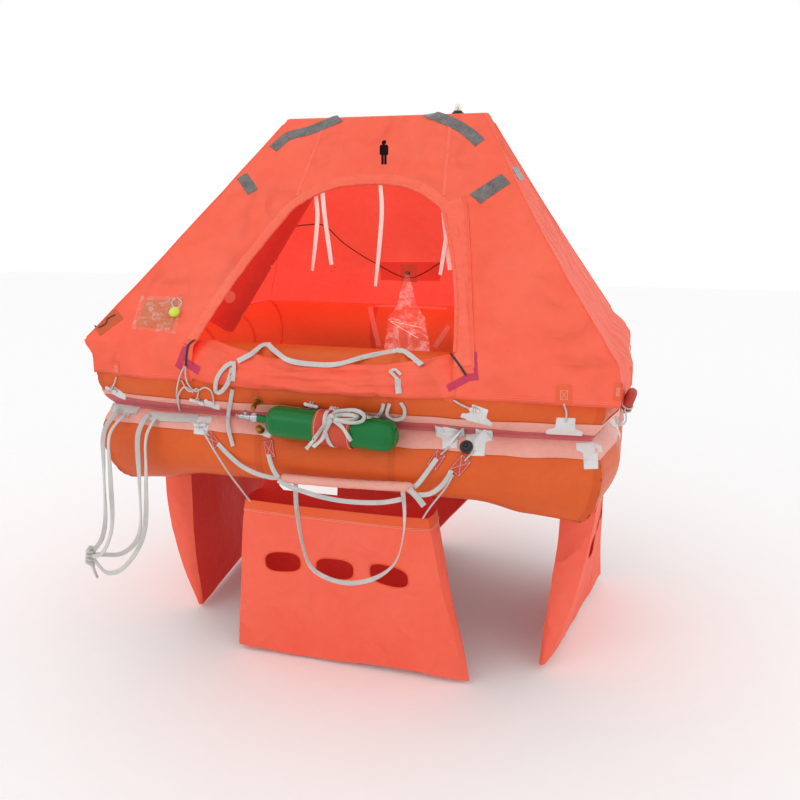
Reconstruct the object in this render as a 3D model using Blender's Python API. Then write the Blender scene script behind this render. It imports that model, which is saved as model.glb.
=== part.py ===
"""Four-person life raft with two stacked buoyancy tubes, an inflated arch and a canopy.

Units are metres, +Z is up and +X is to the right of the door, which faces -Y.
The origin is the middle of the raft in plan, on its laden waterline, which is the
plane where the two buoyancy tubes meet.
"""
import math

import bmesh
import bpy
from mathutils import Vector

# Driving dimensions
LENGTH = 1.80            # over the side tubes, along X
WIDTH = 1.40             # over the front and back tubes, along Y
TUBE_R = 0.12            # radius of a buoyancy tube
TUBE_RISE = 0.112        # height of a tube's axis over or under the waterline
TUBE_SIDES = 24          # flats around a tube
CORNER_REACH = 0.60      # how much of a full mitre the rounded corners reach out
CORNER_DROOP = 0.045     # how far the lower tube hangs down at its corners
GAP = 0.0003             # clearance between touching pieces
CLOTH = 0.003            # thickness of canopy and pocket cloth
HEM_Z = 0.118            # height of the canopy's hem

ARCH_R = 0.085           # radius of the arch tube
ARCH_TOP_Z = 0.905       # height of the arch's axis at its crown
ARCH_SHOULDER_X = 0.27   # where the crown meets a leg
ARCH_FOOT_X = 0.757      # where a leg's axis reaches the side tube
ARCH_FOOT_Z = 0.20
ARCH_SIDES = 16

CYLINDER_R = 0.050       # gas cylinder
CYLINDER_Y = -0.7218
CYLINDER_Z = 0.003
CYLINDER_TILT = math.radians(-3.2)
RAIN_BAG_X = -0.05
RAIN_BAG_Y = 0.4595

POCKET_TOP_Z = -0.300    # ballast pockets
POCKET_BOTTOM_Z = -0.890
POCKET_OUT = 0.050       # outer face, outwards from the tube's axis
POCKET_IN = -0.070       # inner face
POCKET_EAR_Z = -0.2118   # where the ears of the inner face meet the tube

AXIS_X = LENGTH / 2 - TUBE_R
AXIS_Y = WIDTH / 2 - TUBE_R

# Materials: colour, roughness, metallic
FINISHES = {
    "tube_fabric": ((0.62, 0.13, 0.03), 0.45, 0.0),
    "canopy_fabric": ((0.85, 0.16, 0.09), 0.6, 0.0),
    "pocket_fabric": ((0.80, 0.12, 0.07), 0.6, 0.0),
    "arch_fabric": ((0.50, 0.04, 0.03), 0.5, 0.0),
    "band_fabric": ((0.75, 0.40, 0.36), 0.5, 0.0),
    "floor_fabric": ((0.03, 0.03, 0.035), 0.6, 0.0),
    "webbing": ((0.70, 0.68, 0.66), 0.8, 0.0),
    "gas_green": ((0.0, 0.22, 0.06), 0.3, 0.0),
    "steel": ((0.6, 0.6, 0.6), 0.3, 1.0),
    "brass": ((0.5, 0.28, 0.07), 0.35, 1.0),
    "sleeve_fabric": ((0.55, 0.09, 0.06), 0.7, 0.0),
    "black_plastic": ((0.02, 0.02, 0.02), 0.4, 0.0),
    "lens": ((0.8, 0.85, 0.8), 0.1, 0.0),
    "lamp_yellow": ((0.5, 0.7, 0.02), 0.3, 0.0),
    "label_fabric": ((0.6, 0.17, 0.06), 0.6, 0.0),
    "quoit_rubber": ((0.40, 0.03, 0.03), 0.5, 0.0),
    "clear_film": ((0.85, 0.8, 0.78), 0.1, 0.0),
}


def clear_scene():
    """Start from an empty scene."""
    for item in list(bpy.data.objects):
        bpy.data.objects.remove(item, do_unlink=True)


def make_material(name):
    """One Principled material from the table of finishes."""
    if name in bpy.data.materials:
        return bpy.data.materials[name]
    colour, roughness, metallic = FINISHES[name]
    material = bpy.data.materials.new(name)
    material.use_nodes = True
    shader = material.node_tree.nodes["Principled BSDF"]
    shader.inputs["Base Color"].default_value = (*colour, 1.0)
    shader.inputs["Roughness"].default_value = roughness
    shader.inputs["Metallic"].default_value = metallic
    return material


def add_solid(name, verts, faces, finish, smooth=True):
    """Add one closed mesh whose faces point outwards."""
    mesh = bpy.data.meshes.new(name)
    mesh.from_pydata([tuple(v) for v in verts], [], faces)
    work = bmesh.new()
    work.from_mesh(mesh)
    bmesh.ops.remove_doubles(work, verts=work.verts, dist=1e-6)
    bmesh.ops.recalc_face_normals(work, faces=work.faces)
    work.to_mesh(mesh)
    work.free()
    if smooth:
        mesh.shade_smooth()
        mesh.set_sharp_from_angle(angle=math.radians(35))
    item = bpy.data.objects.new(name, mesh)
    bpy.context.scene.collection.objects.link(item)
    mesh.materials.append(make_material(finish))
    return item


def boolean(target, cutter, operation):
    """Cut or join target with a helper body that isn't part of the model."""
    cutter.hide_render = True
    cutter.display_type = "WIRE"
    modifier = target.modifiers.new(operation.title(), "BOOLEAN")
    modifier.operation = operation
    modifier.solver = "EXACT"
    modifier.object = cutter


def loft(rings, closed=False):
    """Skin a list of equal rings; the ends are capped unless the loft is a loop."""
    count = len(rings[0])
    verts = [p for ring in rings for p in ring]
    faces = []
    last = len(rings) if closed else len(rings) - 1
    for i in range(last):
        a = i * count
        b = ((i + 1) % len(rings)) * count
        for j in range(count):
            k = (j + 1) % count
            faces.append((a + j, a + k, b + k))
            faces.append((a + j, b + k, b + j))
    if not closed:
        faces.append(tuple(range(count - 1, -1, -1)))
        faces.append(tuple(range((len(rings) - 1) * count, len(rings) * count)))
    return verts, faces


def open_bag(outer, inner):
    """Skin a bag from the rings of its outside and its inside, each from mouth to bottom."""
    verts, faces = loft(outer)
    inner_verts, inner_faces = loft(inner)
    base = len(verts)
    count = len(outer[0])
    # a loft's last two faces cap its mouth and its bottom, and a bag has no cap on its mouth
    del faces[-2]
    del inner_faces[-2]
    faces += [tuple(base + i for i in face) for face in inner_faces]
    for j in range(count):
        k = (j + 1) % count
        faces.append((j, k, base + k))
        faces.append((j, base + k, base + j))
    return verts + inner_verts, faces


def add_loft(name, rings, finish, closed=False):
    """Add a skinned solid."""
    verts, faces = loft(rings, closed)
    return add_solid(name, verts, faces, finish)


# Plan of the raft
# side: direction along the tube, outward direction, half-length of its axis,
# and where its axis lies from the middle
SIDES = {
    "front": ((1, 0), (0, -1), AXIS_X, AXIS_Y),
    "right": ((0, 1), (1, 0), AXIS_Y, AXIS_X),
    "back": ((-1, 0), (0, 1), AXIS_X, AXIS_Y),
    "left": ((0, -1), (-1, 0), AXIS_Y, AXIS_X),
}
STATION_SHARES = (-0.77, -0.60, -0.33, 0.0, 0.33, 0.60, 0.77)
STRAIGHT = STATION_SHARES[-1]    # a side's tube is straight out to here


def side_point(side, along, out, z):
    """A place given by its run along a side, its reach outwards and its height."""
    run, face, _, offset = SIDES[side]
    x = run[0] * along + face[0] * (offset + out)
    y = run[1] * along + face[1] * (offset + out)
    return Vector((x, y, z))


def corner_out(out):
    """Reach of a corner for a given reach of the sides."""
    return out * CORNER_REACH if out > 0 else out


def lower_sag(share, out, z):
    """Shape of the lower tube towards its corners, where its underside hangs down."""
    t = min(1.0, max(0.0, (abs(share) - 0.60) / 0.30))
    ease = t * t * (3 - 2 * t)
    depth = max(0.0, (-TUBE_RISE - z) / TUBE_R)
    return out * (1 - 0.10 * ease * depth), z - CORNER_DROOP * ease * depth


def tube_place(side, share, out, z, mitre_gap=0.0, sag=False):
    """A place on or near a tube, at a share of its half-length from the middle."""
    half = SIDES[side][2]
    if STRAIGHT < abs(share) < 1.0:
        sign = math.copysign(1, share)
        straight = tube_place(side, sign * STRAIGHT, out, z, mitre_gap, sag)
        corner = tube_place(side, sign, out, z, mitre_gap, sag)
        return straight.lerp(corner, (abs(share) - STRAIGHT) / (1.0 - STRAIGHT))
    if sag:
        out, z = lower_sag(share, out, z)
    if abs(share) < 1.0:
        return side_point(side, share * half, out, z)
    reach = corner_out(out)
    return side_point(side, math.copysign(half + reach - mitre_gap, share), reach, z)


def tube_ring(side, share, section, mitre_gap, sag):
    """One cross-section of a side."""
    return [tube_place(side, share, out, z, mitre_gap, sag) for out, z in section]


def circle_section(rise, sides):
    """Cross-section of a tube, flattened where it is bonded to the other one."""
    section = []
    for i in range(sides):
        angle = 2 * math.pi * i / sides
        z = rise + TUBE_R * math.sin(angle)
        z = max(z, GAP / 2) if rise > 0 else min(z, -GAP / 2)
        section.append((TUBE_R * math.cos(angle), z))
    return section


def make_buoyancy_tubes():
    """Eight mitred lengths that make the upper and the lower tube."""
    for level, rise in (("upper", TUBE_RISE), ("lower", -TUBE_RISE)):
        section = circle_section(rise, TUBE_SIDES)
        for side in SIDES:
            shares = (-1.0, *STATION_SHARES, 1.0)
            rings = [tube_ring(side, s, section, GAP, level == "lower") for s in shares]
            add_loft(f"{level}_tube_{side}", rings, "tube_fabric")


def arc_angles(low, high):
    """Angles of a wrap on a tube, with one at each edge between the tube's flats."""
    step = 360 / TUBE_SIDES
    first = math.floor(low / step) + 1
    angles = [low]
    while first * step < high - 1e-6:
        angles.append(first * step)
        first += 1
    return angles + [high]


def wrap_section(rise, low, high, lift, thickness):
    """Cross-section of a sheet wrapped on a tube between two angles in degrees."""
    angles = [math.radians(a) for a in arc_angles(low, high)]
    inner = TUBE_R + lift
    outer = inner + thickness
    near = [(inner * math.cos(a), rise + inner * math.sin(a)) for a in angles]
    far = [(outer * math.cos(a), rise + outer * math.sin(a)) for a in reversed(angles)]
    return near + far


def make_band(name, rise, low, high):
    """A strip that runs right round the raft beside the joint of the tubes."""
    section = wrap_section(rise, low, high, GAP, 0.004)
    rings = []
    for side in SIDES:
        rings += [tube_ring(side, s, section, 0.0, False) for s in (*STATION_SHARES, 1.0)]
    return add_loft(name, rings, "band_fabric", closed=True)


def add_patch(name, band, side, along, half, rise, low, high):
    """A white moulded patch joined to its band."""
    axis_half = SIDES[side][2]
    section = wrap_section(rise, low, high, 0.0012, 0.0045)
    runs = [along - half, along, along + half]
    rings = [tube_ring(side, run / axis_half, section, 0.0, False) for run in runs]
    patch = add_loft(name, rings, "webbing")
    boolean(band, patch, "UNION")


# side, middle along the side, half-width, lowest and highest angle on the tube
UPPER_PATCHES = [
    ("front", -0.390, 0.032, -50, -18),
    ("front", 0.489, 0.034, -52, -12),
    ("right", -0.38, 0.034, -52, -14),
    ("right", 0.38, 0.034, -52, -14),
    ("back", -0.54, 0.034, -52, -14),
    ("back", 0.0, 0.034, -52, -14),
    ("back", 0.54, 0.034, -52, -14),
    ("left", -0.38, 0.034, -52, -14),
    ("left", 0.38, 0.034, -52, -14),
]
LOWER_PATCHES = [
    ("front", -0.356, 0.036, 6, 56),
    ("front", 0.450, 0.075, 12, 58),
    ("right", -0.25, 0.034, 6, 54),
    ("right", 0.25, 0.034, 6, 54),
    ("back", -0.35, 0.034, 6, 54),
    ("back", 0.35, 0.034, 6, 54),
    ("left", -0.25, 0.034, 6, 54),
    ("left", 0.25, 0.034, 6, 54),
]


def make_bands():
    """The two strips beside the joint, with their moulded patches."""
    upper = make_band("upper_band", TUBE_RISE, -60, -30)
    for i, (side, along, half, low, high) in enumerate(UPPER_PATCHES):
        add_patch(f"upper_patch_{i}", upper, side, along, half, TUBE_RISE, low, high)
    lower = make_band("lower_band", -TUBE_RISE, 30, 60)
    for i, (side, along, half, low, high) in enumerate(LOWER_PATCHES):
        add_patch(f"lower_patch_{i}", lower, side, along, half, -TUBE_RISE, low, high)


FLOOR_ANGLE = math.radians(225)
FLOOR_THICK = 0.006


def make_floor():
    """The floor sheet, which meets the lower tubes on their inner undersides."""
    reach = TUBE_R * math.cos(FLOOR_ANGLE)
    height = -TUBE_RISE + TUBE_R * math.sin(FLOOR_ANGLE)
    half_x = AXIS_X + reach - FLOOR_THICK / 2 + GAP
    half_y = AXIS_Y + reach - FLOOR_THICK / 2 + GAP
    shares = (-1.0, -0.82, -0.64, -0.36, 0.0, 0.36, 0.64, 0.82, 1.0)
    count = len(shares)
    verts = []
    for lift in (FLOOR_THICK / 2, -FLOOR_THICK / 2):
        for sy in shares:
            for sx in shares:
                drop = 0.0
                for share, other in ((sx, sy), (sy, sx)):
                    if abs(other) == 1.0:
                        sagged = lower_sag(share * 0.90, reach, height)[1]
                        drop = min(drop, sagged - height)
                verts.append((sx * half_x, sy * half_y, height + drop + lift))
    faces = []
    size = count * count
    for j in range(count - 1):
        for i in range(count - 1):
            a = j * count + i
            faces.append((a, a + 1, a + count + 1, a + count))
            faces.append((size + a, size + a + count, size + a + count + 1, size + a + 1))
    rim = list(range(count - 1))
    rim += [j * count + count - 1 for j in range(count - 1)]
    rim += [size - 1 - i for i in range(count - 1)]
    rim += [size - count - j * count for j in range(count - 1)]
    for i, a in enumerate(rim):
        b = rim[(i + 1) % len(rim)]
        faces.append((a, a + size, b + size, b))
    add_solid("raft_floor", verts, faces, "floor_fabric", smooth=False)


def arch_axis(x):
    """Height of the arch's axis over a place across the raft."""
    x = abs(x)
    if x <= ARCH_SHOULDER_X:
        return ARCH_TOP_Z
    slope = (ARCH_TOP_Z - ARCH_FOOT_Z) / (ARCH_FOOT_X - ARCH_SHOULDER_X)
    return ARCH_TOP_Z - slope * (x - ARCH_SHOULDER_X)


def leg_angle():
    """Slope of a leg below the level."""
    return math.atan2(ARCH_TOP_Z - ARCH_FOOT_Z, ARCH_FOOT_X - ARCH_SHOULDER_X)


def arch_ring(centre, normal):
    """One cross-section of the arch; normal lies across the tube in the XZ plane."""
    ring = []
    for i in range(ARCH_SIDES):
        angle = 2 * math.pi * i / ARCH_SIDES
        p = centre + normal * ARCH_R * math.cos(angle)
        p.y += ARCH_R * math.sin(angle)
        ring.append(p)
    return ring


def make_arch():
    """Crown and two legs, mitred where they meet, with feet cut to the side tubes."""
    slope = leg_angle()
    stretch = 1 / math.cos(slope / 2)
    mitre = Vector((math.sin(slope / 2), 0, math.cos(slope / 2))) * stretch
    gap = Vector((GAP / 2, 0, 0))
    crown = []
    for sign in (-1, 1):
        normal = Vector((sign * mitre.x, 0, mitre.z))
        centre = Vector((sign * ARCH_SHOULDER_X, 0, ARCH_TOP_Z)) - sign * gap
        crown.append(arch_ring(centre, normal))
    add_loft("arch_crown", crown, "arch_fabric")
    for sign, side in ((-1, "left"), (1, "right")):
        normal = Vector((sign * mitre.x, 0, mitre.z))
        top = Vector((sign * ARCH_SHOULDER_X, 0, ARCH_TOP_Z)) + sign * gap
        across = Vector((sign * math.sin(slope), 0, math.cos(slope)))
        foot_x = ARCH_FOOT_X + 0.045
        foot = Vector((sign * foot_x, 0, arch_axis(foot_x)))
        leg = add_loft(f"arch_leg_{side}", [arch_ring(top, normal), arch_ring(foot, across)],
                       "arch_fabric")
        seat = []
        for y in (-0.2, 0.2):
            ring = []
            for i in range(TUBE_SIDES):
                angle = 2 * math.pi * i / TUBE_SIDES
                out = (TUBE_R + GAP) * math.cos(angle)
                z = TUBE_RISE + (TUBE_R + GAP) * math.sin(angle)
                ring.append(Vector((sign * (AXIS_X + out), y, z)))
            seat.append(ring)
        boolean(leg, add_loft(f"arch_seat_{side}", seat, "arch_fabric"), "DIFFERENCE")


# Corners of the raft are named by the signs of their x and y
RIDGE_HALF = 0.366       # half-length of the canopy's ridge
SHOULDER_HALF = 0.374    # half-width just under the ridge
KNUCKLE_HALF = {(-1, -1): 0.862, (1, -1): 0.885, (1, 1): 0.820, (-1, 1): 0.820}
SKIRT_REACH = {(-1, -1): 0.60, (1, -1): 0.88, (1, 1): 0.75, (-1, 1): 0.75}


# Canopy as a stack of level outlines, from the ridge down to the knuckle over the tube
# height, half-depth at the front and back, half-width at each hip, x over the arch's leg
def canopy_levels():
    """Rows of the canopy above the tubes."""
    slope = leg_angle()
    ridge_z = ARCH_TOP_Z + ARCH_R + CLOTH + GAP
    shoulder_z = ridge_z - 0.012
    knuckle_z = 0.235
    ridge = {corner: RIDGE_HALF for corner in KNUCKLE_HALF}
    rows = [(ridge_z, 0.0, ridge, RIDGE_HALF)]
    for share in (0.0, 0.10, 0.20, 0.32, 0.44, 0.56, 0.68, 0.80, 0.90, 1.0):
        z = shoulder_z + (knuckle_z - shoulder_z) * share
        depth = 0.062 + (0.690 - 0.062) * share
        hips = {corner: SHOULDER_HALF + (knuckle - SHOULDER_HALF) * share
                for corner, knuckle in KNUCKLE_HALF.items()}
        lift = (ARCH_R + CLOTH + GAP) / math.sin(slope)
        leg = ARCH_SHOULDER_X + (ARCH_TOP_Z - z) / math.tan(slope) + lift
        rows.append((z, depth, hips, max(leg, SHOULDER_HALF)))
    return rows


DOOR_BOTTOM = (-0.450, 0.410)    # x of the door's sides over the tube
DOOR_TOP = (-0.250, 0.285)       # x of the door's sides at the corners of its top
DOOR_CORNER_Z = 0.660
DOOR_ARCH_RISE = 0.085           # how far the door's top rises over its corners
DOOR_SEAM_TOP = (-0.220, 0.250)  # where the seams over the door reach the ridge


def door_side(z, side):
    """The door's side, and the seam above it, at a given height."""
    bottom = DOOR_BOTTOM[side]
    corner = DOOR_TOP[side]
    seam = DOOR_SEAM_TOP[side]
    ridge_z = ARCH_TOP_Z + ARCH_R
    if z >= DOOR_CORNER_Z:
        share = min(1.0, (z - DOOR_CORNER_Z) / (ridge_z - DOOR_CORNER_Z))
        return corner + (seam - corner) * share
    share = max(0.0, (z - 0.235) / (DOOR_CORNER_Z - 0.235))
    bow = 0.020 * math.sin(math.pi * share) * (1 if side else -1)
    return bottom + (corner - bottom) * share + bow


def front_depth(z):
    """Half-depth of the canopy's front at a given height."""
    rows = canopy_levels()
    for upper, lower in zip(rows, rows[1:]):
        if z >= lower[0]:
            share = (upper[0] - z) / (upper[0] - lower[0])
            return upper[1] + (lower[1] - upper[1]) * min(1.0, max(0.0, share))
    return rows[-1][1]


def skirt_rows(side, share):
    """The skirt below the knuckle at a place on the perimeter."""
    half = SIDES[side][2]
    rows = []
    for z, out in ((0.175, 0.1245), (HEM_Z, TUBE_R + GAP + CLOTH)):
        if abs(share) == 1.0:
            place = side_point(side, share * half, 0, z)
            corner = (1 if place.x > 0 else -1, 1 if place.y > 0 else -1)
            reach = out * SKIRT_REACH[corner] + 0.004
            rows.append(side_point(side, math.copysign(half + reach, share), reach, z))
        else:
            rows.append(side_point(side, share, out, z))
    return rows


def offset_grid(grid):
    """The inside face of a cloth panel, one thickness in along its own normals."""
    inner = []
    rows = len(grid)
    cols = len(grid[0])
    for r in range(rows):
        line = []
        for c in range(cols):
            down = grid[min(r + 1, rows - 1)][c] - grid[max(r - 1, 0)][c]
            across = grid[r][min(c + 1, cols - 1)] - grid[r][max(c - 1, 0)]
            normal = across.cross(down)
            if normal.length < 1e-9:
                normal = Vector((0, 0, 1))
            normal.normalize()
            line.append(grid[r][c] + normal * CLOTH)
        inner.append(line)
    return inner


def cloth_solid(name, grid, finish):
    """A closed panel from a grid of its outer face, rows down and columns rightwards."""
    inner = offset_grid(grid)
    rows = len(grid)
    cols = len(grid[0])
    verts = [p for line in grid for p in line] + [p for line in inner for p in line]
    size = rows * cols
    faces = []
    for r in range(rows - 1):
        for c in range(cols - 1):
            a = r * cols + c
            faces.append((a, a + cols, a + cols + 1, a + 1))
            faces.append((size + a, size + a + 1, size + a + cols + 1, size + a + cols))
    rim = list(range(cols - 1))
    rim += [r * cols + cols - 1 for r in range(rows - 1)]
    rim += [size - 1 - c for c in range(cols - 1)]
    rim += [size - cols - r * cols for r in range(rows - 1)]
    for i, a in enumerate(rim):
        b = rim[(i + 1) % len(rim)]
        faces.append((a, b, b + size, a + size))
    return add_solid(name, verts, faces, finish)


SEAM = 0.0034        # half of the room left at a canopy seam, where the cloth turns
RIDGE_SEAM = 0.0009  # the same along the ridge


def make_front_canopy():
    """Three panels round the door: left, right and over it."""
    rows = canopy_levels()
    for side, name in ((0, "canopy_front_left"), (1, "canopy_front_right")):
        sign = 1 if side else -1
        grid = []
        low_x = DOOR_BOTTOM[side] + sign * 0.02
        straight_x = sign * STRAIGHT * AXIS_X
        corner_x = sign * (AXIS_X + corner_out(TUBE_R))
        places = [low_x, (low_x + straight_x) / 2, straight_x]
        columns = [(x - low_x) / (corner_x - low_x) for x in places] + [1.0]
        for z, depth, hips, _ in rows:
            seam_x = sign * (hips[sign, -1] - SEAM)
            door_x = door_side(z, side) + sign * GAP
            line = [Vector((door_x + (seam_x - door_x) * s, -depth - RIDGE_SEAM, z))
                    for s in columns]
            grid.append(line)
        skirts = [skirt_rows("front", x) for x in places]
        corner = skirt_rows("front", float(sign))
        skirts.append([p - Vector((sign * SEAM, 0, 0)) for p in corner])
        for r in range(2):
            grid.append([column[r] for column in skirts])
        if side == 0:
            grid = [list(reversed(line)) for line in grid]
        cloth_solid(name, grid, "canopy_fabric")
    grid = []
    for r in range(6):
        share = r / 5
        line = []
        for c in range(9):
            across = c / 8
            arc = 1 - abs(2 * across - 1) ** 2.6
            low_z = DOOR_CORNER_Z + DOOR_ARCH_RISE * arc
            z = rows[0][0] + (low_z - rows[0][0]) * share
            if r == 1:
                z = rows[1][0]
            left = door_side(z, 0) + GAP
            right = door_side(z, 1) - GAP
            line.append(Vector((left + (right - left) * across, -front_depth(z) - RIDGE_SEAM, z)))
        grid.append(line)
    cloth_solid("canopy_front_top", grid, "canopy_fabric")


def make_back_canopy():
    """The back panel, from the ridge down to the hem."""
    grid = []
    shares = (1.0, STRAIGHT, 0.38, 0.0, -0.38, -STRAIGHT, -1.0)
    for z, depth, hips, _ in canopy_levels():
        line = []
        for s in shares:
            hip = hips[1 if s > 0 else -1, 1]
            line.append(Vector((s * (hip - SEAM), depth + RIDGE_SEAM, z)))
        grid.append(line)
    columns = []
    for s in shares:
        if abs(s) == 1.0:
            columns.append([p - Vector((s * SEAM, 0, 0)) for p in skirt_rows("back", -s)])
        else:
            columns.append(skirt_rows("back", -s * AXIS_X))
    for r in range(2):
        grid.append([column[r] for column in columns])
    cloth_solid("canopy_back", grid, "canopy_fabric")


def make_side_canopies():
    """The two end panels, each one drawn over a leg of the arch."""
    shares = (-1.0, -STRAIGHT, -0.38, 0.0, 0.38, STRAIGHT, 1.0)
    for side, sign in (("right", 1), ("left", -1)):
        grid = []
        for z, depth, hips, leg in canopy_levels()[1:]:
            line = []
            for s in shares:
                hip = hips[sign, 1 if sign * s > 0 else -1]
                x = leg + (hip - leg) * abs(s)
                line.append(Vector((sign * x, sign * s * (depth - SEAM), z)))
            grid.append(line)
        columns = []
        for s in shares:
            if abs(s) == 1.0:
                room = Vector((0, sign * s * SEAM, 0))
                columns.append([p - room for p in skirt_rows(side, s)])
            else:
                columns.append(skirt_rows(side, s * AXIS_Y))
        for r in range(2):
            grid.append([column[r] for column in columns])
        cloth_solid(f"canopy_{side}", grid, "canopy_fabric")


def make_door_flap():
    """The door's cloth, rolled down and laid over the front tube."""
    # x, lower angle, upper angle, thickness
    table = [
        (-0.462, 8, 84, 0.010),
        (-0.420, 4, 80, 0.020),
        (-0.330, 0, 62, 0.030),
        (-0.200, -2, 48, 0.032),
        (0.000, -3, 42, 0.030),
        (0.200, -2, 44, 0.032),
        (0.330, 0, 60, 0.030),
        (0.400, 4, 78, 0.020),
        (0.425, 8, 82, 0.010),
    ]
    rings = []
    finer = [table[0]]
    for before, after in zip(table, table[1:]):
        finer += [tuple((a + b) / 2 for a, b in zip(before, after)), after]
    for x, low, high, thick in finer:
        ring = []
        for i in range(7):
            angle = math.radians(low + (high - low) * i / 6)
            r = TUBE_R + 0.0026
            ring.append(side_point("front", x, r * math.cos(angle), TUBE_RISE + r * math.sin(angle)))
        for i in range(7):
            share = 1 - i / 6
            angle = math.radians(low + (high - low) * share)
            r = TUBE_R + 0.0044 + thick * (4 * share * (1 - share)) ** 0.5
            ring.append(side_point("front", x, r * math.cos(angle), TUBE_RISE + r * math.sin(angle)))
        rings.append(ring)
    add_loft("door_flap", rings, "canopy_fabric")


def turned(name, profile, origin, axis, finish, sides=24):
    """A turned solid from (distance along the axis, radius) pairs."""
    axis = Vector(axis).normalized()
    across = axis.orthogonal().normalized()
    third = axis.cross(across)
    rings = []
    for run, radius in profile:
        centre = Vector(origin) + axis * run
        ring = []
        for i in range(sides):
            angle = 2 * math.pi * i / sides
            ring.append(centre + (across * math.cos(angle) + third * math.sin(angle)) * radius)
        rings.append(ring)
    return add_loft(name, rings, finish)


def cylinder_place(run, across=0.0):
    """A place on the gas cylinder's axis, run to the right from its middle."""
    direction = Vector((math.cos(CYLINDER_TILT), 0, math.sin(CYLINDER_TILT)))
    lift = Vector((-math.sin(CYLINDER_TILT), 0, math.cos(CYLINDER_TILT)))
    return Vector((0.020, CYLINDER_Y, CYLINDER_Z)) + direction * run + lift * across


def make_gas_cylinder():
    """Gas cylinder with its neck, valve and holding sleeve."""
    axis = cylinder_place(1.0) - cylinder_place(0.0)
    body = [(-0.235, 0.013), (-0.200, 0.013), (-0.198, 0.022), (-0.190, 0.034),
            (-0.177, 0.044), (-0.162, CYLINDER_R), (0.202, CYLINDER_R), (0.214, 0.046),
            (0.222, 0.038), (0.226, 0.026)]
    turned("gas_cylinder", body, cylinder_place(0.0), axis, "gas_green")
    head = [(-0.310, 0.008), (-0.306, 0.010), (-0.300, 0.0105), (-0.260, 0.0105),
            (-0.256, 0.014), (-0.2353, 0.014)]
    turned("cylinder_valve", head, cylinder_place(0.0), axis, "steel", sides=16)
    turns = 20
    spread = 300
    inner = (CYLINDER_R + GAP) / math.cos(math.radians(spread / turns / 2))
    low, high, outer = -0.030, 0.088, inner + 0.002
    profile = [(low, inner), (low, outer), (high, outer), (high, inner)]
    rings = []
    third = Vector((0, 1, 0))
    lift = cylinder_place(0, 1) - cylinder_place(0, 0)
    # the sleeve wraps the front of the cylinder and stops short of the tubes behind it
    for i in range(turns + 1):
        angle = math.radians(-spread / 2 + spread * i / turns)
        spoke = third * -math.cos(angle) + lift * math.sin(angle)
        rings.append([cylinder_place(run) + spoke * radius for run, radius in profile])
    add_loft("cylinder_sleeve", rings, "sleeve_fabric")


def tube_face(side, along, rise, degrees, lift=0.0):
    """A place on a tube's surface, and the direction that it faces."""
    angle = math.radians(degrees)
    flat = TUBE_R * math.cos(math.radians(180 / TUBE_SIDES))
    base = side_point(side, along, flat * math.cos(angle), rise + flat * math.sin(angle))
    tip = side_point(side, along, (flat + 1) * math.cos(angle), rise + (flat + 1) * math.sin(angle))
    direction = tip - base
    return base + direction * (GAP + lift), direction


def make_valves():
    """Inflation valves and the relief valve, each one seated on a flat of its tube."""
    # name, along the front, tube's height, angle of a flat, band under it, profile, finish
    table = [
        ("inflation_valve_upper", -0.228, TUBE_RISE, -22.5, 0.0,
         [(0.0, 0.016), (0.002, 0.016), (0.003, 0.009), (0.008, 0.006), (0.034, 0.006),
          (0.035, 0.009), (0.046, 0.009)], "brass"),
        ("inflation_valve_lower", -0.228, -TUBE_RISE, 37.5, 0.0043,
         [(0.0, 0.013), (0.003, 0.013), (0.004, 0.008), (0.014, 0.008), (0.015, 0.011),
          (0.024, 0.011)], "brass"),
    ]
    for name, along, rise, degrees, lift, profile, finish in table:
        base, direction = tube_face("front", along, rise, degrees, lift)
        turned(name, profile, base, direction, finish, sides=12)
    base, direction = tube_face("front", 0.452, -TUBE_RISE, 37.5, 0.0058)
    profile = [(0.0, 0.019), (0.008, 0.019), (0.009, 0.015), (0.016, 0.014), (0.019, 0.009)]
    turned("relief_valve", profile, base, direction, "black_plastic", sides=16)


def pocket_section(half, out, inn, z, ear_z, inset):
    """A level outline of a pocket; inset makes the inside face, ear_z lifts its ears."""
    a = half - inset
    front = out - inset
    rear = inn + inset
    mid = (front + rear) / 2
    return [(-a, mid, z), (-a * 0.93, front, z), (-a * 0.4, front + 0.012, z),
            (a * 0.4, front + 0.012, z), (a * 0.93, front, z), (a, mid, z),
            (a * 0.93, rear, ear_z), (a * 0.80, rear, ear_z), (a * 0.70, rear, z),
            (-a * 0.70, rear, z), (-a * 0.80, rear, ear_z), (-a * 0.93, rear, ear_z)]


# How the bottom of each pocket hangs: half-width, shift along its side, and how far its two
# ends swing outwards, first the end that a run along the side starts from
POCKET_HANG = {
    "front": (0.430, 0.027, 0.000, 0.000),
    "right": (0.405, -0.020, -0.090, 0.070),
    "back": (0.260, 0.220, -0.020, 0.010),
    "left": (0.370, -0.030, 0.020, -0.070),
}


def pocket_hang(side, share, along, half):
    """Shift along and outwards of a pocket's cloth at a share of its height."""
    _, shift, first, last = POCKET_HANG[side]
    pull = share ** 1.5
    turn = (along / half + 1) / 2
    return shift * pull, (first + (last - first) * turn) * pull


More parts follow.
